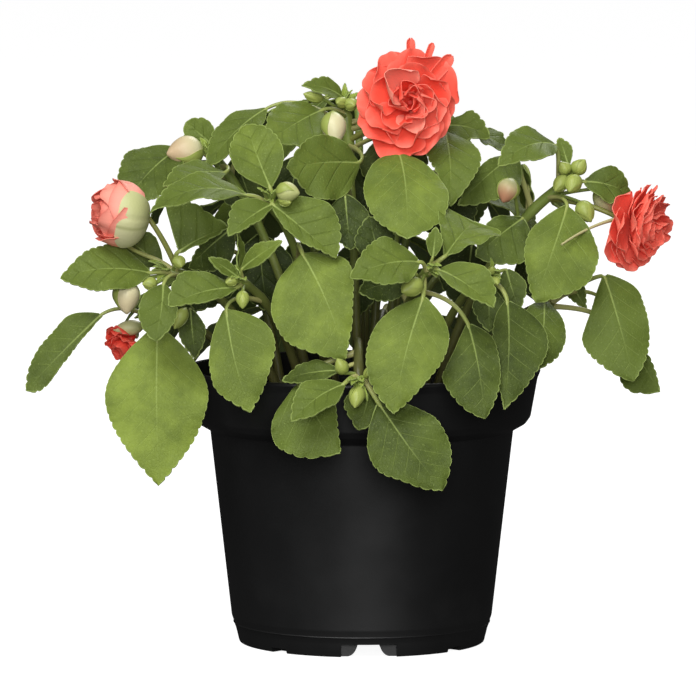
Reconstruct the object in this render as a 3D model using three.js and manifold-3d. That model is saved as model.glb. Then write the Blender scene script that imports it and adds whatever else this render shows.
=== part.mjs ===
// Double-flowered busy lizzie (Impatiens walleriana) growing in a round nursery pot.
// Millimetres, +Z up. The origin is on the ground under the pot's axis, and the plant's best side faces -Y.

import * as THREE from "three";
import { mergeVertices } from "three/addons/utils/BufferGeometryUtils.js";
import Module from "manifold-3d";

const wasm = await Module();
wasm.setup();

// ---------------------------------------------------------------- driving dimensions

const GAP = 0.35; // clearance between neighbouring pieces

const POT = {
  segments: 28,
  height: 100,
  rimRadius: 65,
  rimLip: 0.9,
  wall: 1.3,
  collar: { top: 96.5, topRadius: 63.9, bottom: 82.5, bottomRadius: 61.4, shoulder: 80.2 },
  body: { top: 77.5, topRadius: 55.1, bottom: 9.8, bottomRadius: 47.4 },
  step: { height: 5.2, radius: 45.9 },
  foot: { radius: 44.6 },
  floor: 6.2,
};

// Four grooves run in under the floor to a solid hub, each with a hole above it. The front and back ones are
// open at the foot's edge.
const DRAIN = {
  turn: 3.4, // degrees
  height: 4.7,
  topWidth: 7.6,
  bottomWidth: 14.6,
  shoulder: { out: 0.8, up: 0.6 },
  hub: 9,
  sideLength: 30,
  mouth: { width: 20, depth: 3.4 },
  notch: { width: 7, height: 1.7, depth: 5, angles: [45, 135, 225, 315] },
  hole: { radius: 3, distance: 27, sides: 6 },
};

const SOIL = { height: 88, mound: 2, relief: 0.9 };

const STEM = {
  sides: 5,
  steps: 4,
  footRadius: 1.8,
  tipRadius: 1.4,
  depth: 14,
  bendOut: 0.35, // share of the way out at which it bends
  bendUp: 0.72, // share of its height that it has reached there
};
const PETIOLE = {
  steps: 3,
  stepLength: 11,
  rootRadius: 1.1,
  flatness: 0.8,
  bladeRadius: 1,
  straight: 0.25, // share of its reach that runs in line with the blade
  rise: 0.16, // share of its reach that it bows upwards
};
const BLADE = {
  thickness: 0.75,
  toothDepth: 0.09, // share of the half width
  wave: 0.035,
  teeth: { long: 4, middle: 3, short: 2 },
  longFrom: 28,
  middleFrom: 17,
};
const BUD = { sides: 5, largeWidth: 5, stalkRadius: 0.7, belly: 0.48, tip: 0.12 };
const PETAL = {
  thickness: 0.7,
  notch: 0.1, // share of the length
  claw: 0.07, // share of the width, each side of the midrib
  fold: 8,
  wave: 0.07,
  overlap: 17, // degrees that one side is turned under its neighbour
  stray: 7, // degrees
  rootDepth: 0.6, // share of the heart's radius
  rootLow: 30, // degrees that the roots sit below the petals' tilt
};
const CUP = { sides: 6, shoulderAt: 0.4, shoulder: 0.8 }; // the shoulder: shares of its depth and radius
const SPUR = { rise: 2.5, rings: [[0, 0.8], [0.5, 0.55], [1, 0.45]] };

const COLOURS = {
  pot: 0x151616,
  soil: 0x2b1d14,
  shoot: 0x5d7c35,
  petals: 0xf0533f,
};

// ---------------------------------------------------------------- the plant's habit
//
// foot: where the shoot leaves the soil. tip: its growing point. rise: how much higher it bows on the way.
// leaves: name, place along the shoot (0 to 1), blade base, blade tip, width, side that its face looks to,
//         arch (share of its length) and fold of its halves (degrees, up from the midrib). Then, for some, the
//         shapes of their left and right halves and how much wider the right one is (share of the half width).
// buds: place along the shoot, near end, far end, width.
// shaded: its leaves have few teeth.

// Shapes of a leaf's half: where it is widest (share of the length), then the powers of its outline towards
// the base and the tip. The lower, the straighter and sharper.
const PLAIN = [0.44, 1.9, 1.7];
const ROUND = [0.48, 2.3, 2.4];
const SPOON = [0.6, 1.7, 2.5];
const DROP = [0.4, 2.6, 1.5];
const EARLY = [0.25, 2, 1.3];
const LATE = [0.66, 2.4, 1.5];
const FAN = [0.8, 1.2, 4];
const KITE = [0.5, 1.1, 2.3];
const SHOULDER = [0.25, 2, 3.2];

const SHOOTS = {
  shoot_1: {
    foot: [-9, -12], tip: [-33, -49, 164], rise: 0,
    leaves: [
      ["up", 0.98, [-32.5, -51, 169], [-41, -38, 190.5], 19, [0, -1, 0.4], 0.05, 12, ROUND],
      ["right", 0.98, [-31.5, -54, 163], [-9, -63, 145], 17.5, [0.1, -1, 0.6], 0.06, 10, PLAIN, ROUND, 0.45],
      ["low_left", 0.96, [-32, -54, 163], [-47, -64, 152.5], 12, [-0.2, -1, 0.8], 0.08, 18, PLAIN, PLAIN, -0.3],
      ["left", 0.94, [-41, -49, 166], [-75, -54, 160], 19, [0, -0.5, 1], 0.17, 8],
      ["down", 0.72, [-21, -57, 146], [-5.5, -74, 110.5], 33, [0, -1, 0.3], 0.07, -6, ROUND, EARLY, -0.2],
    ],
    buds: [
      [0.99, [-30, -56, 168], [-22, -60, 167.5], 7.4],
      [0.97, [-29, -56, 165], [-25, -60, 164], 3.6],
    ],
  },
  shoot_2: {
    foot: [-17, -24], tip: [-43, -57, 136], rise: 4,
    leaves: [
      ["left", 0.97, [-44.5, -60, 134], [-68, -67, 128], 14, [0, -1, 0.7], 0.12, 12, SPOON, PLAIN, -0.3],
      ["young_a", 0.99, [-44, -60, 138], [-54, -64, 145], 5.5, [0, -1, 0.5], 0.05, 30],
      ["young_b", 0.99, [-44, -57, 140], [-44, -53, 153], 6, [1, -0.5, 0], 0.05, 25],
      ["young_c", 0.99, [-42, -60, 141], [-28, -65, 151], 8, [-0.4, -1, 0.5], 0.08, 25],
      ["down", 0.82, [-48, -63, 126.5], [-39, -76, 91.5], 25, [0, -1, 0.3], 0.06, -5, LATE, DROP, 0.23],
    ],
    buds: [
      [0.97, [-42, -61, 133], [-42, -64, 127], 4.4],
      [0.98, [-44, -60, 137], [-48, -63, 136], 3.4],
    ],
  },
  shoot_3: {
    foot: [-24, -12], tip: [-69, -35, 138], rise: 6,
    leaves: [
      ["left", 0.97, [-75.5, -39, 137.5], [-107, -45, 136.5], 19.5, [0, -1, 0.7], 0.12, 8, PLAIN, ROUND],
      ["up", 0.97, [-65, -41, 145.5], [-47.5, -36, 153.5], 21, [0, -1, 0.4], 0.1, 10, PLAIN, EARLY, 0.8],
      ["front", 0.93, [-70.5, -46, 134], [-73, -58, 115], 14, [0, -1, 0.3], 0.08, 5, ROUND, ROUND, -0.16],
      ["big", 0.86, [-73, -36, 118], [-72, -53, 63], 37, [0, -1, 0.25], 0.06, -6],
      ["behind", 0.94, [-72, -28, 140], [-87, -24, 151], 14, [0, -1, 0.3], 0.06, 5],
      ["hidden", 0.97, [-84, -30, 146.5], [-93, -24, 157.5], 12, [0, -1, 0.3], 0.06, 5],
    ],
    buds: [
      [0.96, [-84, -41, 135], [-83.5, -46, 123.5], 9.6],
      [0.97, [-73, -41, 134], [-78, -44, 134], 4.4],
      [0.98, [-66, -40, 143], [-64, -44, 140], 4.4],
    ],
  },
  shoot_4: {
    foot: [8, -22], tip: [24, -67, 141], rise: 6,
    leaves: [
      ["left", 0.98, [20, -70, 144], [-4, -80, 139.5], 20, [-0.1, -1, 0.6], 0.14, 10],
      ["up", 0.98, [29.5, -67, 146], [39.5, -52, 156.5], 25, [-0.1, -0.9, 0.6], 0.06, 12, FAN],
      ["right", 0.98, [27, -72, 141.5], [46, -83, 129], 14, [0.1, -0.8, 0.7], 0.1, 12, PLAIN, ROUND, 0.3],
      ["young", 0.99, [25, -69, 146], [26, -66, 156], 6, [0, -1, 0.3], 0.05, 25],
      ["down", 0.93, [21.5, -74, 132], [11, -90, 92.5], 27.5, [0, -1, 0.3], 0.06, -5, ROUND, DROP],
      ["shade", 0.86, [19, -60, 139], [-1, -54, 132], 14, [0, -1, 0.3], 0.08, 5],
      ["low", 0.8, [37.5, -66, 121.5], [43, -81, 90], 21, [0.1, -1, 0.3], 0.08, -6, KITE, SHOULDER, -0.24],
      ["inner", 0.7, [6.5, -46, 142], [2.5, -42, 158], 15, [0, -1, 0.3], 0.05, 8],
    ],
    buds: [[0.95, [21, -71, 137], [14, -77, 134], 6.4]],
  },
  shoot_5: {
    foot: [-2, -32], tip: [-1, -77, 103], rise: 38,
    leaves: [
      ["left", 0.98, [-6.5, -82, 102], [-24.5, -93, 90], 15.5, [-0.2, -0.8, 0.7], 0.08, 14],
      ["broad", 0.82, [-22.5, -71, 101], [-7.5, -85, 78], 27, [0, -1, 0.3], 0.08, -6, ROUND, EARLY, -0.27],
      ["shade", 0.9, [-8, -74, 106], [-28, -70, 102], 11, [0, -0.7, 0.8], 0.1, 8],
      ["right", 0.98, [6, -80, 95], [28, -93, 66], 28, [0.1, -1, 0.35], 0.07, -4, PLAIN, ROUND],
      ["under", 0.93, [3, -71, 100], [-1, -77, 85.5], 16, [0, -1, 0.3], 0.06, 0],
    ],
    buds: [
      [0.99, [-1, -79, 101], [-2.5, -84, 94], 5.4],
      [0.97, [-6, -78, 105.5], [-8.5, -81, 111], 4.6],
      [0.99, [1, -79, 104], [4, -82, 109], 2.6],
    ],
  },
  shoot_6: {
    foot: [22, -5], tip: [73, -20, 168], rise: 0,
    leaves: [
      ["left", 0.98, [69.5, -22, 182], [48.5, -35, 175.5], 17.5, [0, -0.8, 0.8], 0.2, 8],
      ["right", 0.98, [80, -22, 169], [97, -17, 163], 15, [0.1, -1, 0.6], 0.14, 10],
      ["young", 0.99, [74, -18, 175], [71, -12, 184], 6.5, [0, -1, 0.2], 0.05, 20],
      ["down", 0.93, [73.5, -29, 160.5], [61.5, -47, 128], 27, [0, -1, 0.3], 0.07, -6, PLAIN, ROUND, 0.23],
      ["mid", 0.86, [55.5, -10, 178], [34.5, -24, 160.5], 17, [-0.2, -1, 0.4], 0.1, 6, PLAIN, PLAIN, 0.45],
      ["thin", 0.84, [58, -4, 174], [62, -6, 155], 12, [-1, -0.5, 0], 0.03, 10],
      ["low", 0.74, [57.5, -26, 156], [40.5, -39, 143.5], 20, [0, -1, 0.4], 0.08, 6, PLAIN, ROUND, 0.35],
      ["side", 0.9, [69, 2, 160], [77, 30, 141], 22, [1, 0, 0.6], 0.1, 5],
    ],
    buds: [
      [0.98, [74, -22, 172], [71, -24, 176], 4.8],
      [0.98, [76, -22, 172], [80, -24, 177], 5.4],
      [0.97, [73, -25, 171], [69, -29, 166], 4.8],
      [0.97, [77, -25, 171], [74, -31, 166], 6],
      [0.95, [78, -25, 162], [82, -29, 155], 6.4],
      [0.94, [84, -16, 166], [93, -16, 157], 9.4],
      [0.8, [54, -24, 170], [50.5, -28, 162], 8],
    ],
  },
  shoot_7: {
    foot: [-1, -3], tip: [-6, -6, 195], rise: 0,
    leaves: [
      ["young", 0.99, [-6.5, -8, 198], [-21.5, -14, 203], 9, [0.1, -0.9, 0.8], 0.12, 20],
      ["left", 0.98, [-14.5, -12, 194], [-33.5, -31, 183.5], 22, [-0.2, -1, 0.5], 0.08, 6, ROUND, ROUND, 0.1],
      ["far", 0.95, [-34.5, -2, 194], [-56, -14, 173], 16.5, [-0.5, -0.8, 0.6], 0.1, 5],
      ["front", 0.88, [-1, -26, 176], [-26.5, -40, 175], 24, [0, -1, 0.2], 0.05, 5, ROUND, ROUND, 0.16],
      ["down", 0.87, [13, -33, 181], [16, -60, 151], 30, [0, -1, 0.5], 0.1, -5, ROUND, SPOON],
      ["right", 0.93, [30, -17, 186.5], [31.5, -38, 161.5], 20.5, [0.1, -1, 0.5], 0.12, 5, EARLY, PLAIN, 0.1],
      ["back_a", 0.95, [30, -6, 188], [46, -10, 184], 15, [0, -0.7, 0.8], 0.12, 8],
      ["back_b", 0.9, [39, 6, 185], [54, 4, 177], 14, [0.2, -0.4, 1], 0.1, 8],
      ["inner", 0.7, [-6, -34, 165], [-4, -43, 146], 16, [0, -1, 0.3], 0.06, 5],
    ],
    buds: [
      [0.97, [-10.5, -23, 194], [-9.5, -29, 182.5], 9],
      [0.99, [-6, -13, 197], [-9, -18, 197], 3.8],
      [0.99, [-5, -13, 196.5], [-2.5, -18, 196], 4.6],
      [0.98, [-14, -10, 198], [-21, -14, 200], 4],
    ],
  },
  shoot_8: {
    foot: [-15, -2], tip: [-55, -5, 178], rise: 0,
    leaves: [
      ["left", 0.98, [-66, -8, 180], [-86, -24, 159], 24, [-0.3, -1, 0.6], 0.1, 4],
      ["young", 0.99, [-53.5, -2, 180.5], [-63.5, 1, 189], 11.5, [-0.2, -1, 0.3], 0.05, 10, ROUND],
      ["low", 0.94, [-49, -20, 172], [-71, -31, 168], 15, [0, -0.6, 1], 0.1, 6],
      ["shade", 0.75, [-46, -28, 153], [-62, -24, 138], 13, [0, -1, 0.3], 0.08, 5, PLAIN, PLAIN, 0.5],
      ["inner", 0.9, [-46, 1, 176], [-38, -3, 154], 20, [0, -1, 0.3], 0.06, 5],
      ["side", 0.9, [-63, 6, 168], [-75, 32, 150], 22, [-1, 0, 0.6], 0.1, 5],
    ],
    buds: [
      [0.98, [-57.5, -8, 179.5], [-70, -15, 178.5], 11.6],
      [0.97, [-68, -5, 174], [-70, -3, 178], 5],
    ],
  },
  shoot_9: {
    foot: [-32, -4], tip: [-76, -13, 120], rise: 8,
    leaves: [
      ["left", 0.99, [-94, -17, 120.5], [-120.5, -26, 94], 13, [-0.2, -1, 0.3], 0.05, -14,
        SHOULDER, FAN, -0.35],
      ["side", 0.9, [-80, 6, 131], [-90, 34, 127], 20, [-0.4, 0, 1], 0.1, 5],
      ["shade", 0.8, [-61.5, -25, 123], [-59.5, -31, 106], 10, [0, -1, 0.1], 0.06, 5],
    ],
    buds: [[0.85, [-63, -30, 124], [-67, -34, 117], 4.6]],
  },
  shoot_10: {
    foot: [18, -19], tip: [46, -51, 138], rise: 5,
    leaves: [
      ["down", 0.97, [51.5, -57, 129], [50, -76, 92.5], 20, [0.05, -1, 0.3], 0.08, -5, DROP, DROP, 0.4],
      ["shade", 0.9, [45, -48, 133], [45, -55, 118], 12, [0, -1, 0.1], 0.06, 5],
      ["low", 0.85, [51.5, -43, 139], [56, -47, 125.5], 11, [0, -1, 0.1], 0.06, 5],
    ],
    buds: [
      [0.99, [46, -54, 139], [46, -57, 141], 2.6],
      [0.99, [47, -54, 137], [48, -58, 135], 2.6],
    ],
  },
  shoot_11: {
    foot: [30, -12], tip: [69, -24, 125], rise: 8,
    leaves: [
      ["near", 0.97, [65, -40, 128], [62.5, -59, 105], 17, [0.2, -1, 0.3], 0.08, -5, ROUND],
      ["far", 0.99, [87, -26, 135.5], [97, -40, 99], 25, [0.1, -1, 0.25], 0.06, -12, KITE, SHOULDER, -0.12],
      ["side", 0.9, [86, -4, 126], [97, 26, 107], 24, [1, 0, 0.6], 0.1, 5],
      ["tail", 0.98, [96.5, -16, 111.5], [107, -25, 93.5], 14, [0.1, -1, 0.2], 0.06, 5, SPOON, PLAIN, -0.5],
      ["peek", 0.97, [76, -12, 131], [81, -13, 122], 7, [0, -1, 0.3], 0.06, 8, EARLY],
    ],
    buds: [],
  },
};

// Short shoots in the shade of the others.
const INNER_SHOOTS = {
  shoot_12: {
    foot: [3, 7], tip: [9, 11, 160], rise: 0, shaded: true,
    leaves: [
      ["a", 0.95, [-3, 7, 179], [-8, 2, 152], 26, [0, -1, 0.3], 0.06, 5],
      ["b", 0.6, [0, 8, 140], [-9, 3, 114], 22, [0, -1, 0.3], 0.06, 5],
      ["c", 0.9, [26, 8, 168], [36, 3, 144], 24, [0, -1, 0.3], 0.06, 5],
      ["d", 0.75, [-23, 9, 176], [-28, 3, 151], 22, [0, -1, 0.3], 0.06, 5],
    ],
    buds: [],
  },
  shoot_13: {
    foot: [-27, 6], tip: [-44, 9, 142], rise: 0, shaded: true,
    leaves: [
      ["a", 0.9, [-37, 5, 148], [-34, 2, 120], 24, [0, -1, 0.2], 0.06, 5],
      ["b", 0.97, [-53, -3, 140], [-60, -8, 121], 22, [0, -1, 0.2], 0.06, 5],
    ],
    buds: [],
  },
  shoot_14: {
    foot: [29, 4], tip: [46, 8, 142], rise: 0, shaded: true,
    leaves: [
      ["a", 0.95, [40, 6, 144], [35, 2, 121], 22, [0, -1, 0.2], 0.06, 5],
      ["b", 0.95, [60, 6, 143], [69, 2, 124], 18, [0, -1, 0.2], 0.06, 5],
    ],
    buds: [],
  },
  shoot_15: {
    foot: [10, -8], tip: [13, -3, 158], rise: 0, shaded: true,
    leaves: [
      ["a", 0.95, [11, -4, 186], [13, -8, 160], 25, [0, -1, 0.3], 0.06, 5],
      ["b", 0.55, [16, -8, 124], [12, -14, 100], 17, [0, -1, 0.3], 0.06, 5],
    ],
    buds: [],
  },
};

// Shoots that round the bush off behind. lean: the way each leans out (degrees from +X). reach: how far.
const BACK_SHOOTS = [
  { lean: 60, reach: 60, height: 130, leaves: 3 },
  { lean: 88, reach: 60, height: 143, leaves: 3 },
  { lean: 110, reach: 60, height: 117, leaves: 3 },
  { lean: 139, reach: 58, height: 132, leaves: 3 },
  { lean: 44, reach: 32, height: 168, leaves: 4 },
  { lean: 92, reach: 34, height: 196, leaves: 6 },
  { lean: 137, reach: 34, height: 163, leaves: 4 },
  { lean: 80, reach: 46, height: 116, leaves: 3 },
];
const BACK_SHOOT = { footShare: 0.35, rise: 4, leavesFrom: 0.97 };
const BACK_LEAF = {
  spread: 46, // degrees from leaf to leaf
  stalk: 13,
  length: 40,
  width: 25,
  pitch: 34, // degrees down, and pitchChange more for every second leaf
  pitchChange: 18,
  faceOut: 0.6,
  arch: 0.1,
  fold: 5,
};

// shoot, place: the shoot that carries the flower, and where on it. through: a point the stalk bends through.
// base: middle of the sepal cup's mouth. face: the way the flower looks. cup: radius and depth of the cup.
// heart: radius of the petals' heart, and how far out of the cup its middle stands (share of that radius).
// layers: petals, length, width, tilt from flat (degrees), turn (degrees), bow inwards (share of the length).
// squeeze: how much shorter the petals are on one side, and which (degrees from the right, about the face).
// spur: the end of the thin horn behind the flower.
const BLOOMS = {
  bloom_top: {
    shoot: "shoot_7", place: 0.9, through: [8, -18, 191], base: [17.5, -27, 197], face: [-0.05, -0.97, 0.16],
    heart: [5, 0.8], cup: [2.6, 3], squeeze: [0.2, -25],
    layers: [
      [6, 20.5, 18, 6, 0, -0.05],
      [5, 18, 15, 28, 30, -0.1],
      [4, 15, 12.5, 48, 10, -0.12],
      [3, 12, 9, 68, 40, -0.12],
    ],
  },
  bloom_right: {
    shoot: "shoot_6", place: 0.93, through: [84, -22, 161], base: [94.5, -23, 154.6], face: [0.78, -0.5, -0.36],
    heart: [4.5, 0.8], cup: [2.4, 3], squeeze: [0, 0], spur: [71, -43, 148],
    layers: [
      [5, 17.5, 15, 0, 0, -0.05],
      [5, 17, 13.5, 26, 36, -0.1],
      [4, 15, 11, 48, 10, -0.12],
      [3, 13, 9, 68, 40, -0.12],
    ],
  },
  bloom_left: {
    shoot: "shoot_3", place: 0.96, through: [-70, -37, 149],
    base: [-84.8, -40, 158.6], face: [-0.93, -0.33, 0.12],
    heart: [8, 0.3], cup: [10.4, 9], squeeze: [0, 0],
    layers: [
      [5, 13, 17, 58, 18, -0.2],
      [4, 12.5, 12, 76, 50, -0.12],
    ],
  },
  bloom_low: {
    shoot: "shoot_9", place: 0.98, through: [-78, -19, 119], base: [-82, -25, 114], face: [-0.6, -0.4, -0.65],
    heart: [3, 0.8], cup: [2, 2.4], squeeze: [0, 0],
    layers: [
      [5, 10, 8, 22, 0, -0.08],
      [4, 9, 6, 55, 35, -0.1],
    ],
  },
};

// ---------------------------------------------------------------- solids

const UP = new THREE.Vector3(0, 0, 1);
const FRONT = new THREE.Vector3(0, -1, 0);
const vector = (list) => new THREE.Vector3(list[0], list[1], list[2]);
const radians = THREE.MathUtils.degToRad;

function toSolid(geometry) {
  const bare = geometry.clone();
  bare.deleteAttribute("normal");
  bare.deleteAttribute("uv");
  const merged = mergeVertices(bare, 1e-4);
  return new wasm.Manifold(
    new wasm.Mesh({
      numProp: 3,
      vertProperties: new Float32Array(merged.attributes.position.array),
      triVerts: new Uint32Array(merged.index.array),
    }),
  );
}

function toGeometry(solid) {
  const mesh = solid.getMesh();
  const geometry = new THREE.BufferGeometry();
  geometry.setAttribute("position", new THREE.BufferAttribute(mesh.vertProperties, 3));
  geometry.setIndex(new THREE.BufferAttribute(mesh.triVerts, 1));
  geometry.computeVertexNormals();
  return geometry;
}

function join(solids) {
  return solids.reduce((whole, solid) => whole.add(solid));
}

// Drops what a join or cut leaves besides the main body: loose scraps and sealed pockets.
function largestBody(solid) {
  return solid.decompose().reduce((best, piece) => (piece.volume() > best.volume() ? piece : best));
}

function cut(solid, tools) {
  return tools.reduce((whole, tool) => whole.subtract(tool), solid);
}

function meshGeometry(points, triangles) {
  const geometry = new THREE.BufferGeometry();
  const coordinates = points.flatMap((point) => point.toArray());
  geometry.setAttribute("position", new THREE.Float32BufferAttribute(coordinates, 3));
  geometry.setIndex(triangles.flat());
  return geometry;
}

// A closed skin over rings of equal size, each a loop of points that turns counter-clockwise about the way on.
function loftTriangles(rings, sides, capStart, capEnd) {
  const triangles = [];
  for (let ring = 0; ring < rings - 1; ring += 1) {
    for (let side = 0; side < sides; side += 1) {
      const next = (side + 1) % sides;
      const here = ring * sides;
      const above = here + sides;
      triangles.push([here + side, here + next, above + next], [here + side, above + next, above + side]);
    }
  }
  const last = (rings - 1) * sides;
  for (let side = 1; side < sides - 1; side += 1) {
    if (capStart) triangles.push([0, side + 1, side]);
    if (capEnd) triangles.push([last, last + side, last + side + 1]);
  }
  return triangles;
}

// A round rod along a curve. Each entry of `rings` is [share of the curve's length, radius].
function rod(curve, rings, sides) {
  let normal = null;
  const points = [];
  for (const [share, radius] of rings) {
    const tangent = curve.getTangentAt(share);
    if (!normal) normal = new THREE.Vector3().crossVectors(tangent, Math.abs(tangent.y) < 0.9 ? FRONT : UP);
    normal.addScaledVector(tangent, -normal.dot(tangent)).normalize();
    const binormal = tangent.clone().cross(normal);
    for (let side = 0; side < sides; side += 1) {
      const angle = (2 * Math.PI * side) / sides;
      points.push(
        curve
          .getPointAt(share)
          .addScaledVector(normal, radius * Math.cos(angle))
          .addScaledVector(binormal, radius * Math.sin(angle)),
      );
    }
  }
  return toSolid(meshGeometry(points, loftTriangles(rings.length, sides, true, true)));
}

// ---------------------------------------------------------------- blades: leaves and petals

// How far out a leaf's half reaches along the blade: 0 at both ends and 1 at its widest.
function leafOutline(along, [widest, atBase, atTip]) {
  if (along < widest) return 1 - ((widest - along) / widest) ** atBase;
  return 1 - ((along - widest) / (1 - widest)) ** atTip;
}

// One side of a leaf's margin: forward-pointing teeth, each a tip and the notch beyond it.
function leafMargin(half, teeth, shape) {
  const margin = [];
  for (let tooth = 0; tooth < teeth; tooth += 1) {
    const tipAt = (tooth + 0.75) / teeth;
    const notchAt = (tooth + 1) / teeth;
    margin.push({ along: tipAt, out: half * leafOutline(tipAt, shape) });
    if (tooth < teeth - 1) {
      margin.push({ along: notchAt, out: half * (leafOutline(notchAt, shape) - BLADE.toothDepth) });
    }
  }
  return margin;
}

// One side of a petal's margin: narrow at its claw, with a lobe past the notch in the middle of its tip.
function petalMargin(width) {
  return [
    { along: 0.45, out: width * 0.36 },
    { along: 0.8, out: width * 0.5 },
    { along: 1, out: width * 0.24 },
  ];
}

// A thin blade from base to tip. Its face looks to `look`, its midrib bows by `arch` of the length, and its
// halves rise by `fold` degrees and wave. Both faces are split into the same triangles. It starts as a short
// edge, `claw` wide each side of the midrib, and a stalk may run into that edge from `stalkFrom`.
// margins: its right and left edges.
function blade({ base, tip, look, arch, fold, wave, thickness, margins, ribs, notch, claw, stalkFrom }) {
  const axis = tip.clone().sub(base);
  const length = axis.length();
  axis.normalize();
  const normal = look.clone().addScaledVector(axis, -look.dot(axis)).normalize();
  const across = normal.clone().cross(axis);
  const place = (along, out, side) => {
    const bow = arch * length * 4 * along * (1 - along);
    const lift = out * Math.tan(radians(fold)) + wave * out * Math.sin(2 * Math.PI * (2 * along + 0.25 * side));
    return base
      .clone()
      .addScaledVector(axis, along * length)
      .addScaledVector(normal, bow + lift)
      .addScaledVector(across, out * side);
  };

  const face = [];
  const rib = [];
  for (let step = 1; step <= ribs; step += 1) {
    const along = (step / ribs) * (1 - notch);
    rib.push({ along, index: face.length });
    face.push(place(along, 0, 1));
  }
  const corners = [];
  const triangles = [];
  const rims = [];
  for (const side of [1, -1]) {
    corners.push(face.length);
    const edge = [];
    for (const point of [{ along: 0, out: claw }, ...margins[side > 0 ? 0 : 1]]) {
      edge.push({ along: point.along, index: face.length });
      face.push(place(point.along, point.out, side));
    }
    edge.push(rib[ribs - 1]);
    rims.push(edge.map((point) => point.index));
    let r = 0;
    let e = 0;
    while (r < ribs - 1 || e < edge.length - 1) {
      const stepRib = e === edge.length - 1 || (r < ribs - 1 && rib[r + 1].along <= edge[e + 1].along);
      const corner = stepRib ? rib[r + 1].index : edge[e + 1].index;
      const triangle = [rib[r].index, corner, edge[e].index];
      if (new Set(triangle).size === 3) triangles.push(side > 0 ? triangle : triangle.reverse());
      if (stepRib) r += 1;
      else e += 1;
    }
  }
  const [left, right] = corners;
  triangles.push([right, rib[0].index, left]);

  const count = face.length;
  const upper = face.map((point) => point.clone().addScaledVector(normal, thickness / 2));
  const lower = face.map((point) => point.clone().addScaledVector(normal, -thickness / 2));
  const points = [...upper, ...lower];
  const skin = [];
  for (const [a, b, c] of triangles) skin.push([a, b, c], [a + count, c + count, b + count]);
  const loop = [...rims[1], ...rims[0].slice(0, -1).reverse()];
  for (let k = 0; k < loop.length - 1; k += 1) {
    const [a, b] = [loop[k], loop[k + 1]];
    skin.push([a, a + count, b + count], [a, b + count, b]);
  }
  const mouth = [left, right, right + count, left + count];
  if (stalkFrom) {
    skin.push(...stalkSkin(stalkFrom, { base, axis, across, claw, thickness, mouth }, points));
  } else {
    skin.push([mouth[0], mouth[3], mouth[2]], [mouth[0], mouth[2], mouth[1]]);
  }
  return toSolid(meshGeometry(points, skin));
}

const STALK_CORNERS = [[1, 1], [-1, 1], [-1, -1], [1, -1]];

// The stalk's skin, from its root in the stem to the blade's mouth. Adds its ring points to `points`.
function stalkSkin(start, { base, axis, across, claw, thickness, mouth }, points) {
  const reach = start.distanceTo(base);
  const steps = Math.min(PETIOLE.steps, 1 + Math.floor(reach / PETIOLE.stepLength));
  const middle = start.clone().lerp(base, 0.5).addScaledVector(UP, PETIOLE.rise * reach);
  const curve = new THREE.CubicBezierCurve3(
    start,
    start.clone().lerp(middle, 0.7),
    base.clone().lerp(middle, 0.4).addScaledVector(axis, -PETIOLE.straight * reach),
    base,
  );
  let side = across.clone();
  const rings = [mouth];
  for (let step = steps - 1; step >= 0; step -= 1) {
    const share = step / steps;
    const tangent = curve.getTangentAt(share);
    side = side.clone().addScaledVector(tangent, -side.dot(tangent)).normalize();
    const top = tangent.clone().cross(side);
    const halfWidth = THREE.MathUtils.lerp(PETIOLE.rootRadius, claw, share);
    const halfHeight = THREE.MathUtils.lerp(PETIOLE.rootRadius * PETIOLE.flatness, thickness / 2, share);
    const centre = curve.getPointAt(share);
    const first = points.length;
    for (const [x, y] of STALK_CORNERS) {
      points.push(centre.clone().addScaledVector(side, x * halfWidth).addScaledVector(top, y * halfHeight));
    }
    rings.unshift([first, first + 1, first + 2, first + 3]);
  }
  const order = rings.flat();
  return loftTriangles(rings.length, 4, true, false).map((triangle) => triangle.map((k) => order[k]));
}

function teethFor(length, shaded) {
  if (shaded) return BLADE.teeth.short;
  if (length > BLADE.longFrom) return BLADE.teeth.long;
  return length > BLADE.middleFrom ? BLADE.teeth.middle : BLADE.teeth.short;
}

function leaf(row, stem, shaded) {
  const [, place, base, tip, width, look, arch, fold, left = PLAIN, right = left, lean = 0] = row;
  const teeth = teethFor(vector(base).distanceTo(vector(tip)), shaded);
  const half = width / 2;
  return blade({
    base: vector(base),
    tip: vector(tip),
    look: vector(look),
    arch,
    fold,
    wave: BLADE.wave,
    thickness: BLADE.thickness,
    margins: [leafMargin(half * (1 + lean), teeth, right), leafMargin(half * (1 - lean), teeth, left)],
    ribs: Math.min(teeth, 3),
    notch: 0,
    claw: PETIOLE.bladeRadius,
    stalkFrom: stemExit(stem, place, vector(base)),
  });
}

// ---------------------------------------------------------------- leafy shoots

function stemCurve({ foot, tip, rise }, tuck = STEM.depth) {
  const start = new THREE.Vector3(foot[0], foot[1], SOIL.height - tuck);
  const end = vector(tip);
  const bend = start.clone().lerp(end, STEM.bendOut);
  bend.z = SOIL.height + STEM.bendUp * (end.z - SOIL.height) + rise;
  return new THREE.QuadraticBezierCurve3(start, bend, end);
}

function stemRod(curve, clearance = 0) {
  const rings = [];
  for (let step = 0; step <= STEM.steps; step += 1) {
    const share = step / STEM.steps;
    rings.push([share, THREE.MathUtils.lerp(STEM.footRadius, STEM.tipRadius, share) + clearance]);
  }
  return rod(curve, rings, STEM.sides);
}

// Where a stalk that heads for `target` takes root: just under the stem's skin, on that side.
function stemExit(stem, place, target) {
  const step = Math.min(Math.floor(place * STEM.steps), STEM.steps - 1);
  const lower = stem.getPointAt(step / STEM.steps);
  const upper = stem.getPointAt((step + 1) / STEM.steps);
  const tangent = upper.clone().sub(lower).normalize();
  const centre = lower.lerp(upper, place * STEM.steps - step);
  const aim = target.clone().sub(centre).normalize();
  return centre.addScaledVector(aim.addScaledVector(tangent, -aim.dot(tangent)), STEM.tipRadius * 0.75);
}

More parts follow.
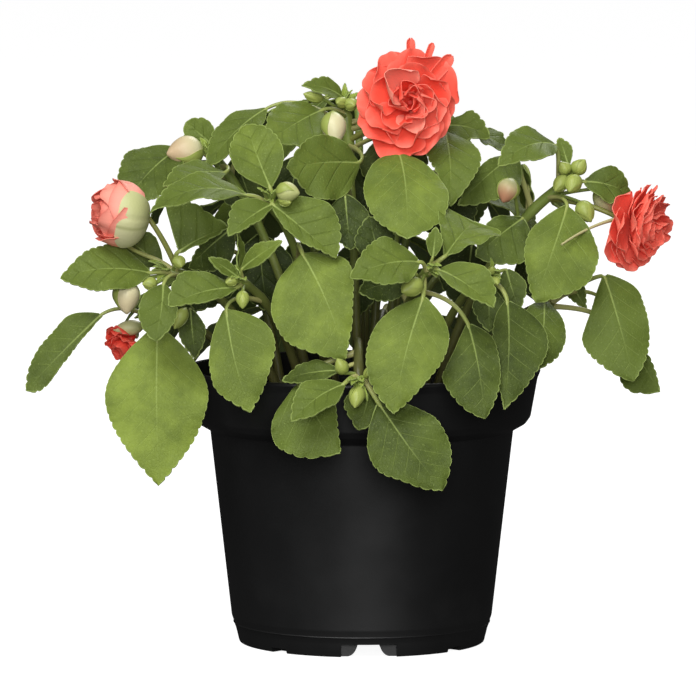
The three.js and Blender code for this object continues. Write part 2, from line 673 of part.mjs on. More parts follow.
// A bud: a pointed egg on a short stalk, in one skin.
function bud([place, near, far, width], stem) {
  const path = new THREE.CurvePath();
  const start = stemExit(stem, place, vector(near));
  path.add(new THREE.LineCurve3(start, vector(near)));
  path.add(new THREE.LineCurve3(vector(near), vector(far)));
  const stalk = start.distanceTo(vector(near));
  const egg = vector(far).distanceTo(vector(near));
  const share = (part) => (stalk + egg * part) / (stalk + egg);
  const rings = [
    [0, BUD.stalkRadius],
    [share(0.02), BUD.stalkRadius],
    [share(0.38), width * BUD.belly],
    [1, width * BUD.tip],
  ];
  return rod(path, rings, width > BUD.largeWidth ? BUD.sides : BUD.sides - 1);
}

function growShoot(shoot) {
  const stem = stemCurve(shoot);
  const leaves = shoot.leaves.map((row) => leaf(row, stem, shoot.shaded));
  const buds = shoot.buds.map((row) => bud(row, stem));
  return [stemRod(stem), ...leaves, ...buds];
}

// A shoot behind the ones listed, with leaves fanned about its lean.
function backShoot({ lean, reach, height, leaves }) {
  const toward = (degrees) => new THREE.Vector3(Math.cos(radians(degrees)), Math.sin(radians(degrees)), 0);
  const out = toward(lean);
  const foot = out.clone().multiplyScalar(reach * BACK_SHOOT.footShare);
  const tip = out.clone().multiplyScalar(reach);
  tip.z = height;
  const rows = [];
  for (let k = 0; k < leaves; k += 1) {
    const side = k - (leaves - 1) / 2;
    const aim = toward(lean + side * BACK_LEAF.spread);
    const pitch = radians(BACK_LEAF.pitch + BACK_LEAF.pitchChange * (k % 2));
    const base = tip.clone().addScaledVector(aim, BACK_LEAF.stalk);
    const fall = aim.clone().multiplyScalar(Math.cos(pitch)).addScaledVector(UP, -Math.sin(pitch));
    const end = base.clone().addScaledVector(fall, BACK_LEAF.length);
    const look = aim.clone().multiplyScalar(BACK_LEAF.faceOut).add(UP);
    const { width, arch, fold } = BACK_LEAF;
    const blade = [base.toArray(), end.toArray(), width, look.toArray(), arch, fold];
    rows.push([`leaf_${k}`, BACK_SHOOT.leavesFrom, ...blade]);
  }
  const { rise } = BACK_SHOOT;
  return { foot: [foot.x, foot.y], tip: tip.toArray(), rise, leaves: rows, buds: [], shaded: true };
}

// ---------------------------------------------------------------- blooms

// Petals in rings round a small heart, each ring steeper and shorter than the one outside it. The petals of a
// ring overlap like shingles.
function bloomPetals({ base, face, heart: [core, coreOut], layers, squeeze: [shorter, shortSide] }) {
  const front = vector(face).normalize();
  const centre = vector(base).addScaledVector(front, core * coreOut + GAP);
  const side = new THREE.Vector3().crossVectors(UP, front).normalize();
  const up = front.clone().cross(side);
  const heart = new THREE.IcosahedronGeometry(core, 0);
  heart.translate(centre.x, centre.y, centre.z);
  const petals = [toSolid(heart)];
  for (const [count, length, width, tilt, turn, arch] of layers) {
    const margin = petalMargin(width);
    for (let k = 0; k < count; k += 1) {
      const angle = radians(turn + (360 * k) / count + PETAL.stray * Math.sin(5 * k + length));
      const reach = length * (1 - shorter * Math.max(0, Math.cos(angle - radians(shortSide))) ** 2);
      const lean = radians(tilt + PETAL.stray * Math.sin(3 * k + length));
      const radial = side.clone().multiplyScalar(Math.cos(angle)).addScaledVector(up, Math.sin(angle));
      const along = radial.clone().multiplyScalar(Math.cos(lean)).addScaledVector(front, Math.sin(lean));
      const look = front.clone().multiplyScalar(Math.cos(lean)).addScaledVector(radial, -Math.sin(lean));
      look.applyAxisAngle(along, radians(PETAL.overlap));
      const rootAt = radians(tilt - PETAL.rootLow);
      const root = centre
        .clone()
        .addScaledVector(radial, core * PETAL.rootDepth * Math.cos(rootAt))
        .addScaledVector(front, core * PETAL.rootDepth * Math.sin(rootAt));
      petals.push(
        blade({
          base: root,
          tip: root.clone().addScaledVector(along, reach - core * PETAL.rootDepth),
          look,
          arch,
          fold: PETAL.fold,
          wave: PETAL.wave,
          thickness: PETAL.thickness,
          margins: [margin, margin],
          ribs: 2,
          notch: PETAL.notch,
          claw: width * PETAL.claw,
        }),
      );
    }
  }
  return petals;
}

// The flower's stalk, swelling into the cup of sepals that the petals sit in. `clearance` swells both.
function bloomStalk({ place, through, base, face, cup: [radius, depth] }, stem, clearance = 0) {
  const front = vector(face).normalize();
  const heel = vector(base).addScaledVector(front, -depth);
  const mouth = vector(base).addScaledVector(front, clearance);
  const stalk = new THREE.QuadraticBezierCurve3(stemExit(stem, place, vector(through)), vector(through), heel);
  const path = new THREE.CurvePath();
  path.add(stalk);
  path.add(new THREE.LineCurve3(heel, mouth));
  const bare = stalk.getLength() / path.getLength();
  const slim = PETIOLE.bladeRadius + clearance;
  const rings = [
    [0, slim],
    [bare * 0.35, slim],
    [bare * 0.7, slim],
    [bare, slim],
    [bare + (1 - bare) * CUP.shoulderAt, radius * CUP.shoulder + clearance],
    [1, radius + clearance],
  ];
  return rod(path, rings, CUP.sides);
}

// The spur: a thin horn from the heel of the cup.
function bloomSpur({ base, face, cup: [, depth], spur }) {
  const heel = vector(base).addScaledVector(vector(face).normalize(), -depth);
  const end = vector(spur);
  const middle = heel.clone().lerp(end, 0.5).addScaledVector(UP, SPUR.rise);
  return rod(new THREE.QuadraticBezierCurve3(heel, middle, end), SPUR.rings, CUP.sides - 1);
}

// ---------------------------------------------------------------- pot

function revolve(profile) {
  const closed = [...profile, profile[0]];
  const geometry = new THREE.LatheGeometry(closed.map(([r, z]) => new THREE.Vector2(r, z)), POT.segments);
  geometry.rotateX(Math.PI / 2);
  return toSolid(geometry);
}

function potProfile() {
  const { rimRadius, rimLip, wall, collar, body, step, foot, floor, height } = POT;
  return [
    [0, 0],
    [foot.radius, 0],
    [step.radius, step.height],
    [body.bottomRadius - 0.8, body.bottom - 2.4],
    [body.bottomRadius, body.bottom],
    [body.topRadius, body.top],
    [collar.bottomRadius - 1.6, collar.shoulder],
    [collar.bottomRadius, collar.bottom],
    [collar.topRadius, collar.top],
    [rimRadius, height - rimLip],
    [rimRadius - rimLip * 0.6, height],
    [rimRadius - wall - rimLip, height],
    [collar.topRadius - wall - 0.2, collar.top],
    [collar.bottomRadius - wall, collar.bottom + 1],
    [collar.bottomRadius - wall - 1.4, collar.shoulder + wall],
    [body.topRadius - wall, body.top + wall],
    [body.bottomRadius - wall, body.bottom],
    [body.bottomRadius - wall - 3, floor],
    [0, floor],
  ];
}

function block(width, depth, height, x, y, z) {
  const box = new THREE.BoxGeometry(width, depth, height);
  box.translate(x, y, z);
  return box;
}

// One groove with rounded shoulders, running out from the hub towards -Y.
function groove(length) {
  const { height, topWidth, bottomWidth, shoulder, hub } = DRAIN;
  const [top, bottom] = [topWidth / 2, bottomWidth / 2];
  const shape = new THREE.Shape();
  shape.moveTo(-bottom, -1);
  shape.lineTo(bottom, -1);
  shape.lineTo(bottom, 0);
  shape.quadraticCurveTo(top + shoulder.out, shoulder.up, top, height);
  shape.lineTo(-top, height);
  shape.quadraticCurveTo(-top - shoulder.out, shoulder.up, -bottom, 0);
  const geometry = new THREE.ExtrudeGeometry(shape, { depth: length, bevelEnabled: false, curveSegments: 2 });
  geometry.rotateX(Math.PI / 2);
  geometry.translate(0, -hub, 0);
  return geometry;
}

function makePot() {
  const { turn, height, mouth, notch, hole, sideLength } = DRAIN;
  const tools = [];
  const outside = POT.step.radius + 2;
  for (const quarter of [0, 90, 180, 270]) {
    const open = quarter % 180 === 0;
    const drain = new THREE.CylinderGeometry(hole.radius, hole.radius, POT.floor * 2, hole.sides);
    drain.rotateX(Math.PI / 2);
    drain.translate(0, -hole.distance, POT.floor);
    const shapes = [groove(open ? outside : sideLength), drain];
    if (open) {
      const inner = mouth.depth - POT.foot.radius;
      shapes.push(block(mouth.width, outside, height, 0, inner - outside / 2, height / 2));
    }
    for (const geometry of shapes) {
      geometry.rotateZ(radians(quarter + turn));
      tools.push(toSolid(geometry));
    }
  }
  for (const angle of notch.angles) {
    const nick = block(notch.depth * 2, notch.width, notch.height * 2, POT.foot.radius, 0, 0);
    nick.rotateZ(radians(angle + turn));
    tools.push(toSolid(nick));
  }
  return largestBody(cut(revolve(potProfile()), tools));
}

// ---------------------------------------------------------------- potting mix

// It fills the pot to a finger's width under the rim, with a lumpy, slightly mounded top.
function makeSoil(stems) {
  const { wall, collar, body, floor } = POT;
  const collarSlope = (collar.topRadius - collar.bottomRadius) / (collar.top - collar.bottom);
  const topRadius = collar.bottomRadius - wall - GAP + collarSlope * (SOIL.height - collar.bottom - 1);
  const profile = [
    [0, floor + GAP],
    [body.bottomRadius - wall - 3.4, floor + GAP],
    [body.bottomRadius - wall - GAP, body.bottom],
    [body.topRadius - wall - GAP, body.top + wall],
    [topRadius, SOIL.height - 1.5],
    [topRadius, SOIL.height],
    [topRadius * 0.5, SOIL.height + SOIL.mound * 0.8],
    [0, SOIL.height + SOIL.mound],
  ];
  const geometry = new THREE.LatheGeometry(profile.map(([r, z]) => new THREE.Vector2(r, z)), POT.segments);
  geometry.rotateX(Math.PI / 2);
  const position = geometry.attributes.position;
  for (let k = 0; k < position.count; k += 1) {
    const x = position.getX(k);
    const y = position.getY(k);
    const z = position.getZ(k);
    if (z > SOIL.height + 0.1) {
      position.setZ(k, z + SOIL.relief * Math.sin(0.41 * x + 1.3) * Math.sin(0.37 * y + 0.4));
    }
  }
  return cut(toSolid(geometry), stems.map((stem) => stemRod(stem, GAP)));
}

// ---------------------------------------------------------------- assembly

const FINISH = {
  pot: { color: COLOURS.pot, roughness: 0.55, metalness: 0 },
  soil: { color: COLOURS.soil, roughness: 1, metalness: 0 },
  shoot: { color: COLOURS.shoot, roughness: 0.6, metalness: 0 },
  petals: { color: COLOURS.petals, roughness: 0.6, metalness: 0 },
};

function named(name, solid, finish) {
  const mesh = new THREE.Mesh(toGeometry(solid), new THREE.MeshStandardMaterial(FINISH[finish]));
  mesh.name = name;
  return mesh;
}

const shoots = { ...SHOOTS, ...INNER_SHOOTS };
BACK_SHOOTS.forEach((row, k) => {
  shoots[`shoot_back_${k + 1}`] = backShoot(row);
});

const busyLizzie = new THREE.Group();
busyLizzie.add(named("pot", makePot(), "pot"));
const holeCurves = Object.values(shoots).map((shoot) => stemCurve(shoot, STEM.depth + GAP));
busyLizzie.add(named("soil", makeSoil(holeCurves), "soil"));

for (const [name, shoot] of Object.entries(shoots)) {
  const parts = growShoot(shoot);
  for (const bloom of Object.values(BLOOMS)) {
    if (bloom.shoot === name) parts.push(bloomStalk(bloom, stemCurve(shoot)));
    if (bloom.shoot === name && bloom.spur) parts.push(bloomSpur(bloom));
  }
  busyLizzie.add(named(name, largestBody(join(parts)), "shoot"));
}

for (const [name, bloom] of Object.entries(BLOOMS)) {
  const stalk = bloomStalk(bloom, stemCurve(SHOOTS[bloom.shoot]), GAP);
  busyLizzie.add(named(name, largestBody(join(bloomPetals(bloom)).subtract(stalk)), "petals"));
}

export default busyLizzie;
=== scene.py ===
# Double-flowered busy lizzie in its black nursery pot: the looks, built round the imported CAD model.
# Every measure of the plant and the pot is in millimetres, as in the CAD source. Pieces are made in metres.

import math
import random

import bpy
import numpy as np
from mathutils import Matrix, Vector, noise


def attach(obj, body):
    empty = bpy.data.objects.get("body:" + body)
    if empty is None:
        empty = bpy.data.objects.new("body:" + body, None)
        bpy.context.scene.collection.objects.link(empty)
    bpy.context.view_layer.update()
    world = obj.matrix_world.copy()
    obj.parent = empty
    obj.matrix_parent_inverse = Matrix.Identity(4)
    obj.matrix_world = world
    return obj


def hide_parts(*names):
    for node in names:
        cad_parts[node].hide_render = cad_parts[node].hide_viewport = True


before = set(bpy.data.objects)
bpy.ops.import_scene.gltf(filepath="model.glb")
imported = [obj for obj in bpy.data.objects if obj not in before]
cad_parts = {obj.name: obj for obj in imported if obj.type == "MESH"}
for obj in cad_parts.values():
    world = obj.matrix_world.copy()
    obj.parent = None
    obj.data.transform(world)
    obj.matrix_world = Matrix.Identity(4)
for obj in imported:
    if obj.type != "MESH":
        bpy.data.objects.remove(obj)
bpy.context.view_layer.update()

MM = 0.001

# ---------------------------------------------------------------- the plant's layout, as in the CAD source
#
# foot: where the shoot leaves the soil. tip: its growing point. rise: how much higher it bows on the way.
# leaves: name, place along the shoot (0 to 1), blade base, blade tip, width, side that its face looks to,
#         arch (share of its length) and fold of its halves (degrees, up from the midrib). Then, for some, the
#         shapes of their left and right halves and how much wider the right one is (share of the half width).
# buds: place along the shoot, near end, far end, width.

# Shapes of a leaf's half: where it is widest (share of the length), then the powers of its outline towards
# the base and the tip. The lower, the straighter and sharper.
PLAIN = [0.44, 1.9, 1.7]
ROUND = [0.48, 2.3, 2.4]
SPOON = [0.6, 1.7, 2.5]
DROP = [0.4, 2.6, 1.5]
EARLY = [0.25, 2, 1.3]
LATE = [0.66, 2.4, 1.5]
FAN = [0.8, 1.2, 4]
KITE = [0.5, 1.1, 2.3]
SHOULDER = [0.25, 2, 3.2]

SHOOTS = {
    "shoot_1": dict(foot=[-9, -12], tip=[-33, -49, 164], rise=0, leaves=[
        ["up", 0.98, [-32.5, -51, 169], [-41, -38, 190.5], 19, [0, -1, 0.4], 0.05, 12, ROUND],
        ["right", 0.98, [-31.5, -54, 163], [-9, -63, 145], 17.5, [0.1, -1, 0.6], 0.06, 10,
         PLAIN, ROUND, 0.45],
        ["low_left", 0.96, [-32, -54, 163], [-47, -64, 152.5], 12, [-0.2, -1, 0.8], 0.08, 18,
         PLAIN, PLAIN, -0.3],
        ["left", 0.94, [-41, -49, 166], [-75, -54, 160], 19, [0, -0.5, 1], 0.17, 8],
        ["down", 0.72, [-21, -57, 146], [-5.5, -74, 110.5], 33, [0, -1, 0.3], 0.07, -6, ROUND, EARLY, -0.2],
    ], buds=[
        [0.99, [-30, -56, 168], [-22, -60, 167.5], 7.4],
        [0.97, [-29, -56, 165], [-25, -60, 164], 3.6],
    ]),
    "shoot_2": dict(foot=[-17, -24], tip=[-43, -57, 136], rise=4, leaves=[
        ["left", 0.97, [-44.5, -60, 134], [-68, -67, 128], 14, [0, -1, 0.7], 0.12, 12, SPOON, PLAIN, -0.3],
        ["young_a", 0.99, [-44, -60, 138], [-54, -64, 145], 5.5, [0, -1, 0.5], 0.05, 30],
        ["young_b", 0.99, [-44, -57, 140], [-44, -53, 153], 6, [1, -0.5, 0], 0.05, 25],
        ["young_c", 0.99, [-42, -60, 141], [-28, -65, 151], 8, [-0.4, -1, 0.5], 0.08, 25],
        ["down", 0.82, [-48, -63, 126.5], [-39, -76, 91.5], 25, [0, -1, 0.3], 0.06, -5, LATE, DROP, 0.23],
    ], buds=[
        [0.97, [-42, -61, 133], [-42, -64, 127], 4.4],
        [0.98, [-44, -60, 137], [-48, -63, 136], 3.4],
    ]),
    "shoot_3": dict(foot=[-24, -12], tip=[-69, -35, 138], rise=6, leaves=[
        ["left", 0.97, [-75.5, -39, 137.5], [-107, -45, 136.5], 19.5, [0, -1, 0.7], 0.12, 8, PLAIN, ROUND],
        ["up", 0.97, [-65, -41, 145.5], [-47.5, -36, 153.5], 21, [0, -1, 0.4], 0.1, 10, PLAIN, EARLY, 0.8],
        ["front", 0.93, [-70.5, -46, 134], [-73, -58, 115], 14, [0, -1, 0.3], 0.08, 5, ROUND, ROUND, -0.16],
        ["big", 0.86, [-73, -36, 118], [-72, -53, 63], 37, [0, -1, 0.25], 0.06, -6],
        ["behind", 0.94, [-72, -28, 140], [-87, -24, 151], 14, [0, -1, 0.3], 0.06, 5],
        ["hidden", 0.97, [-84, -30, 146.5], [-93, -24, 157.5], 12, [0, -1, 0.3], 0.06, 5],
    ], buds=[
        [0.96, [-84, -41, 135], [-83.5, -46, 123.5], 9.6],
        [0.97, [-73, -41, 134], [-78, -44, 134], 4.4],
        [0.98, [-66, -40, 143], [-64, -44, 140], 4.4],
    ]),
    "shoot_4": dict(foot=[8, -22], tip=[24, -67, 141], rise=6, leaves=[
        ["left", 0.98, [20, -70, 144], [-4, -80, 139.5], 20, [-0.1, -1, 0.6], 0.14, 10],
        ["up", 0.98, [29.5, -67, 146], [39.5, -52, 156.5], 25, [-0.1, -0.9, 0.6], 0.06, 12, FAN],
        ["right", 0.98, [27, -72, 141.5], [46, -83, 129], 14, [0.1, -0.8, 0.7], 0.1, 12, PLAIN, ROUND, 0.3],
        ["young", 0.99, [25, -69, 146], [26, -66, 156], 6, [0, -1, 0.3], 0.05, 25],
        ["down", 0.93, [21.5, -74, 132], [11, -90, 92.5], 27.5, [0, -1, 0.3], 0.06, -5, ROUND, DROP],
        ["shade", 0.86, [19, -60, 139], [-1, -54, 132], 14, [0, -1, 0.3], 0.08, 5],
        ["low", 0.8, [37.5, -66, 121.5], [43, -81, 90], 21, [0.1, -1, 0.3], 0.08, -6, KITE, SHOULDER, -0.24],
        ["inner", 0.7, [6.5, -46, 142], [2.5, -42, 158], 15, [0, -1, 0.3], 0.05, 8],
    ], buds=[[0.95, [21, -71, 137], [14, -77, 134], 6.4]]),
    "shoot_5": dict(foot=[-2, -32], tip=[-1, -77, 103], rise=38, leaves=[
        ["left", 0.98, [-6.5, -82, 102], [-24.5, -93, 90], 15.5, [-0.2, -0.8, 0.7], 0.08, 14],
        ["broad", 0.82, [-22.5, -71, 101], [-7.5, -85, 78], 27, [0, -1, 0.3], 0.08, -6, ROUND, EARLY, -0.27],
        ["shade", 0.9, [-8, -74, 106], [-28, -70, 102], 11, [0, -0.7, 0.8], 0.1, 8],
        ["right", 0.98, [6, -80, 95], [28, -93, 66], 28, [0.1, -1, 0.35], 0.07, -4, PLAIN, ROUND],
        ["under", 0.93, [3, -71, 100], [-1, -77, 85.5], 16, [0, -1, 0.3], 0.06, 0],
    ], buds=[
        [0.99, [-1, -79, 101], [-2.5, -84, 94], 5.4],
        [0.97, [-6, -78, 105.5], [-8.5, -81, 111], 4.6],
        [0.99, [1, -79, 104], [4, -82, 109], 2.6],
    ]),
    "shoot_6": dict(foot=[22, -5], tip=[73, -20, 168], rise=0, leaves=[
        ["left", 0.98, [69.5, -22, 182], [48.5, -35, 175.5], 17.5, [0, -0.8, 0.8], 0.2, 8],
        ["right", 0.98, [80, -22, 169], [97, -17, 163], 15, [0.1, -1, 0.6], 0.14, 10],
        ["young", 0.99, [74, -18, 175], [71, -12, 184], 6.5, [0, -1, 0.2], 0.05, 20],
        ["down", 0.93, [73.5, -29, 160.5], [61.5, -47, 128], 27, [0, -1, 0.3], 0.07, -6, PLAIN, ROUND, 0.23],
        ["mid", 0.86, [55.5, -10, 178], [34.5, -24, 160.5], 17, [-0.2, -1, 0.4], 0.1, 6, PLAIN, PLAIN, 0.45],
        ["thin", 0.84, [58, -4, 174], [62, -6, 155], 12, [-1, -0.5, 0], 0.03, 10],
        ["low", 0.74, [57.5, -26, 156], [40.5, -39, 143.5], 20, [0, -1, 0.4], 0.08, 6, PLAIN, ROUND, 0.35],
        ["side", 0.9, [69, 2, 160], [77, 30, 141], 22, [1, 0, 0.6], 0.1, 5],
    ], buds=[
        [0.98, [74, -22, 172], [71, -24, 176], 4.8],
        [0.98, [76, -22, 172], [80, -24, 177], 5.4],
        [0.97, [73, -25, 171], [69, -29, 166], 4.8],
        [0.97, [77, -25, 171], [74, -31, 166], 6],
        [0.95, [78, -25, 162], [82, -29, 155], 6.4],
        [0.94, [84, -16, 166], [93, -16, 157], 9.4],
        [0.8, [54, -24, 170], [50.5, -28, 162], 8],
    ]),
    "shoot_7": dict(foot=[-1, -3], tip=[-6, -6, 195], rise=0, leaves=[
        ["young", 0.99, [-6.5, -8, 198], [-21.5, -14, 203], 9, [0.1, -0.9, 0.8], 0.12, 20],
        ["left", 0.98, [-14.5, -12, 194], [-33.5, -31, 183.5], 22, [-0.2, -1, 0.5], 0.08, 6,
         ROUND, ROUND, 0.1],
        ["far", 0.95, [-34.5, -2, 194], [-56, -14, 173], 16.5, [-0.5, -0.8, 0.6], 0.1, 5],
        ["front", 0.88, [-1, -26, 176], [-26.5, -40, 175], 24, [0, -1, 0.2], 0.05, 5, ROUND, ROUND, 0.16],
        ["down", 0.87, [13, -33, 181], [16, -60, 151], 30, [0, -1, 0.5], 0.1, -5, ROUND, SPOON],
        ["right", 0.93, [30, -17, 186.5], [31.5, -38, 161.5], 20.5, [0.1, -1, 0.5], 0.12, 5,
         EARLY, PLAIN, 0.1],
        ["back_a", 0.95, [30, -6, 188], [46, -10, 184], 15, [0, -0.7, 0.8], 0.12, 8],
        ["back_b", 0.9, [39, 6, 185], [54, 4, 177], 14, [0.2, -0.4, 1], 0.1, 8],
        ["inner", 0.7, [-6, -34, 165], [-4, -43, 146], 16, [0, -1, 0.3], 0.06, 5],
    ], buds=[
        [0.97, [-10.5, -23, 194], [-9.5, -29, 182.5], 9],
        [0.99, [-6, -13, 197], [-9, -18, 197], 3.8],
        [0.99, [-5, -13, 196.5], [-2.5, -18, 196], 4.6],
        [0.98, [-14, -10, 198], [-21, -14, 200], 4],
    ]),
    "shoot_8": dict(foot=[-15, -2], tip=[-55, -5, 178], rise=0, leaves=[
        ["left", 0.98, [-66, -8, 180], [-86, -24, 159], 24, [-0.3, -1, 0.6], 0.1, 4],
        ["young", 0.99, [-53.5, -2, 180.5], [-63.5, 1, 189], 11.5, [-0.2, -1, 0.3], 0.05, 10, ROUND],
        ["low", 0.94, [-49, -20, 172], [-71, -31, 168], 15, [0, -0.6, 1], 0.1, 6],
        ["shade", 0.75, [-46, -28, 153], [-62, -24, 138], 13, [0, -1, 0.3], 0.08, 5, PLAIN, PLAIN, 0.5],
        ["inner", 0.9, [-46, 1, 176], [-38, -3, 154], 20, [0, -1, 0.3], 0.06, 5],
        ["side", 0.9, [-63, 6, 168], [-75, 32, 150], 22, [-1, 0, 0.6], 0.1, 5],
    ], buds=[
        [0.98, [-57.5, -8, 179.5], [-70, -15, 178.5], 11.6],
        [0.97, [-68, -5, 174], [-70, -3, 178], 5],
    ]),
    "shoot_9": dict(foot=[-32, -4], tip=[-76, -13, 120], rise=8, leaves=[
        ["left", 0.99, [-94, -17, 120.5], [-120.5, -26, 94], 13, [-0.2, -1, 0.3], 0.05, -14,
         SHOULDER, FAN, -0.35],
        ["side", 0.9, [-80, 6, 131], [-90, 34, 127], 20, [-0.4, 0, 1], 0.1, 5],
        ["shade", 0.8, [-61.5, -25, 123], [-59.5, -31, 106], 10, [0, -1, 0.1], 0.06, 5],
    ], buds=[[0.85, [-63, -30, 124], [-67, -34, 117], 4.6]]),
    "shoot_10": dict(foot=[18, -19], tip=[46, -51, 138], rise=5, leaves=[
        ["down", 0.97, [51.5, -57, 129], [50, -76, 92.5], 20, [0.05, -1, 0.3], 0.08, -5, DROP, DROP, 0.4],
        ["shade", 0.9, [45, -48, 133], [45, -55, 118], 12, [0, -1, 0.1], 0.06, 5],
        ["low", 0.85, [51.5, -43, 139], [56, -47, 125.5], 11, [0, -1, 0.1], 0.06, 5],
    ], buds=[
        [0.99, [46, -54, 139], [46, -57, 141], 2.6],
        [0.99, [47, -54, 137], [48, -58, 135], 2.6],
    ]),
    "shoot_11": dict(foot=[30, -12], tip=[69, -24, 125], rise=8, leaves=[
        ["near", 0.97, [65, -40, 128], [62.5, -59, 105], 17, [0.2, -1, 0.3], 0.08, -5, ROUND],
        ["far", 0.99, [87, -26, 135.5], [97, -40, 99], 25, [0.1, -1, 0.25], 0.06, -12, KITE, SHOULDER, -0.12],
        ["side", 0.9, [86, -4, 126], [97, 26, 107], 24, [1, 0, 0.6], 0.1, 5],
        ["tail", 0.98, [96.5, -16, 111.5], [107, -25, 93.5], 14, [0.1, -1, 0.2], 0.06, 5, SPOON, PLAIN, -0.5],
        ["peek", 0.97, [76, -12, 131], [81, -13, 122], 7, [0, -1, 0.3], 0.06, 8, EARLY],
    ], buds=[]),
}

# Short shoots in the shade of the others.
INNER_SHOOTS = {
    "shoot_12": dict(foot=[3, 7], tip=[9, 11, 160], rise=0, leaves=[
        ["a", 0.95, [-3, 7, 179], [-8, 2, 152], 26, [0, -1, 0.3], 0.06, 5],
        ["b", 0.6, [0, 8, 140], [-9, 3, 114], 22, [0, -1, 0.3], 0.06, 5],
        ["c", 0.9, [26, 8, 168], [36, 3, 144], 24, [0, -1, 0.3], 0.06, 5],
        ["d", 0.75, [-23, 9, 176], [-28, 3, 151], 22, [0, -1, 0.3], 0.06, 5],
    ], buds=[]),
    "shoot_13": dict(foot=[-27, 6], tip=[-44, 9, 142], rise=0, leaves=[
        ["a", 0.9, [-37, 5, 148], [-34, 2, 120], 24, [0, -1, 0.2], 0.06, 5],
        ["b", 0.97, [-53, -3, 140], [-60, -8, 121], 22, [0, -1, 0.2], 0.06, 5],
    ], buds=[]),
    "shoot_14": dict(foot=[29, 4], tip=[46, 8, 142], rise=0, leaves=[
        ["a", 0.95, [40, 6, 144], [35, 2, 121], 22, [0, -1, 0.2], 0.06, 5],
        ["b", 0.95, [60, 6, 143], [69, 2, 124], 18, [0, -1, 0.2], 0.06, 5],
    ], buds=[]),
    "shoot_15": dict(foot=[10, -8], tip=[13, -3, 158], rise=0, leaves=[
        ["a", 0.95, [11, -4, 186], [13, -8, 160], 25, [0, -1, 0.3], 0.06, 5],
        ["b", 0.55, [16, -8, 124], [12, -14, 100], 17, [0, -1, 0.3], 0.06, 5],
    ], buds=[]),
}

# Shoots that round the bush off behind: the way each leans out (degrees from +X), how far, its height and
# its number of leaves.
BACK_SHOOTS = [
    (60, 60, 130, 3),
    (88, 60, 143, 3),
    (110, 60, 117, 3),
    (139, 58, 132, 3),
    (44, 32, 168, 4),
    (92, 34, 196, 6),
    (137, 34, 163, 4),
    (80, 46, 116, 3),
]
BACK_SHOOT = {"foot_share": 0.35, "rise": 4, "leaves_from": 0.97}
BACK_LEAF = {
    "spread": 46,  # degrees from leaf to leaf
    "stalk": 13,
    "length": 40,
    "width": 25,
    "pitch": 34,  # degrees down, and pitch_change more for every second leaf
    "pitch_change": 18,
    "face_out": 0.6,
    "arch": 0.1,
    "fold": 5,
}

# shoot, place: the shoot that carries the flower, and where on it. through: a point its stalk bends through.
# base: middle of the sepal cup's mouth. face: the way the flower looks. cup: radius and depth of the cup.
# spur: the end of the thin horn behind the flower.
BLOOMS = {
    "bloom_top": dict(
        shoot="shoot_7", place=0.9, through=[8, -18, 191],
        base=[17.5, -27, 197], face=[-0.05, -0.97, 0.16], cup=[2.6, 3],
    ),
    "bloom_right": dict(
        shoot="shoot_6", place=0.93, through=[84, -22, 161],
        base=[94.5, -23, 154.6], face=[0.78, -0.5, -0.36], cup=[2.4, 3], spur=[71, -43, 148],
    ),
    "bloom_left": dict(
        shoot="shoot_3", place=0.96, through=[-70, -37, 149],
        base=[-84.8, -40, 158.6], face=[-0.93, -0.33, 0.12], cup=[10.4, 9],
    ),
    "bloom_low": dict(
        shoot="shoot_9", place=0.98, through=[-78, -19, 119],
        base=[-82, -25, 114], face=[-0.6, -0.4, -0.65], cup=[2, 2.4],
    ),
}

SOIL_TOP = 88

# ---------------------------------------------------------------- looks that differ from leaf to leaf
#
# tone: from -1 (deep shade green) to 1 (sunlit yellow-green), partly each leaf's own colour and partly
# painted shade and painted light. A leaf that isn't named here has its group's.

FRONT_TONE = 0.0
# Painted shade: the inner shoots' leaves are coloured darker.
SHADE_TONE = -0.6
BACK_TONE = -0.05
TONES = {
    "shoot_1": {"up": 0.28, "right": 0.2, "low_left": 0.1, "down": 0.33},
    "shoot_2": {"young_c": 0.2, "down": 0.2},
    "shoot_3": {"left": 0.15, "up": -0.1, "front": -0.1, "big": 0.55, "behind": -0.5, "hidden": -0.5},
    "shoot_4": {"left": 0.2, "up": 0.1, "right": 0.1, "down": 0.3,
                "shade": -0.6, "low": -0.42, "inner": -0.6},
    "shoot_5": {"shade": -0.5, "right": -0.45, "under": -0.5},
    "shoot_6": {"left": 0.05, "right": -0.3, "down": 0.3, "mid": -0.15, "thin": -0.5, "low": -0.3},
    "shoot_7": {"left": 0.1, "far": -0.2, "front": 0.06, "down": 0.27,
                "back_a": -0.2, "back_b": -0.3, "inner": -0.55},
    "shoot_8": {"left": -0.3, "low": -0.1, "shade": -0.55, "young": 0.1, "inner": -0.6},
    "shoot_9": {"left": -0.3, "shade": -0.5},
    "shoot_10": {"down": -0.5, "shade": -0.55, "low": -0.5},
    "shoot_11": {"near": -0.3, "far": -0.05, "tail": -0.1, "peek": -0.3},
}
TONE_STRAY = 0.05

# Buds, by number, whose petals show: how ripe, and how pink.
RIPE_BUDS = {
    "shoot_1": {0: (0.3, 0)},
    "shoot_3": {0: (0.95, 0.25)},
    "shoot_6": {5: (0.7, 0.35), 6: (0.6, 0.85)},
    "shoot_7": {0: (0.9, 0.03)},
    "shoot_8": {0: (0.9, 0.45)},
}

# ---------------------------------------------------------------- lines, rings and sheets

UP = np.array([0.0, 0.0, 1.0])
FRONT = np.array([0.0, -1.0, 0.0])


def vec(values):
    return np.array(values, float)


def unit(vector):
    return vector / np.linalg.norm(vector)


def lerp(start, end, share):
    return start + (end - start) * share


def smooth(value, low, high):
    share = np.clip((value - low) / (high - low), 0, 1)
    return share * share * (3 - 2 * share)


def turned(vector, axis, degrees):
    angle = math.radians(degrees)
    along = axis * (axis @ vector)
    return along + (vector - along) * math.cos(angle) + np.cross(axis, vector) * math.sin(angle)


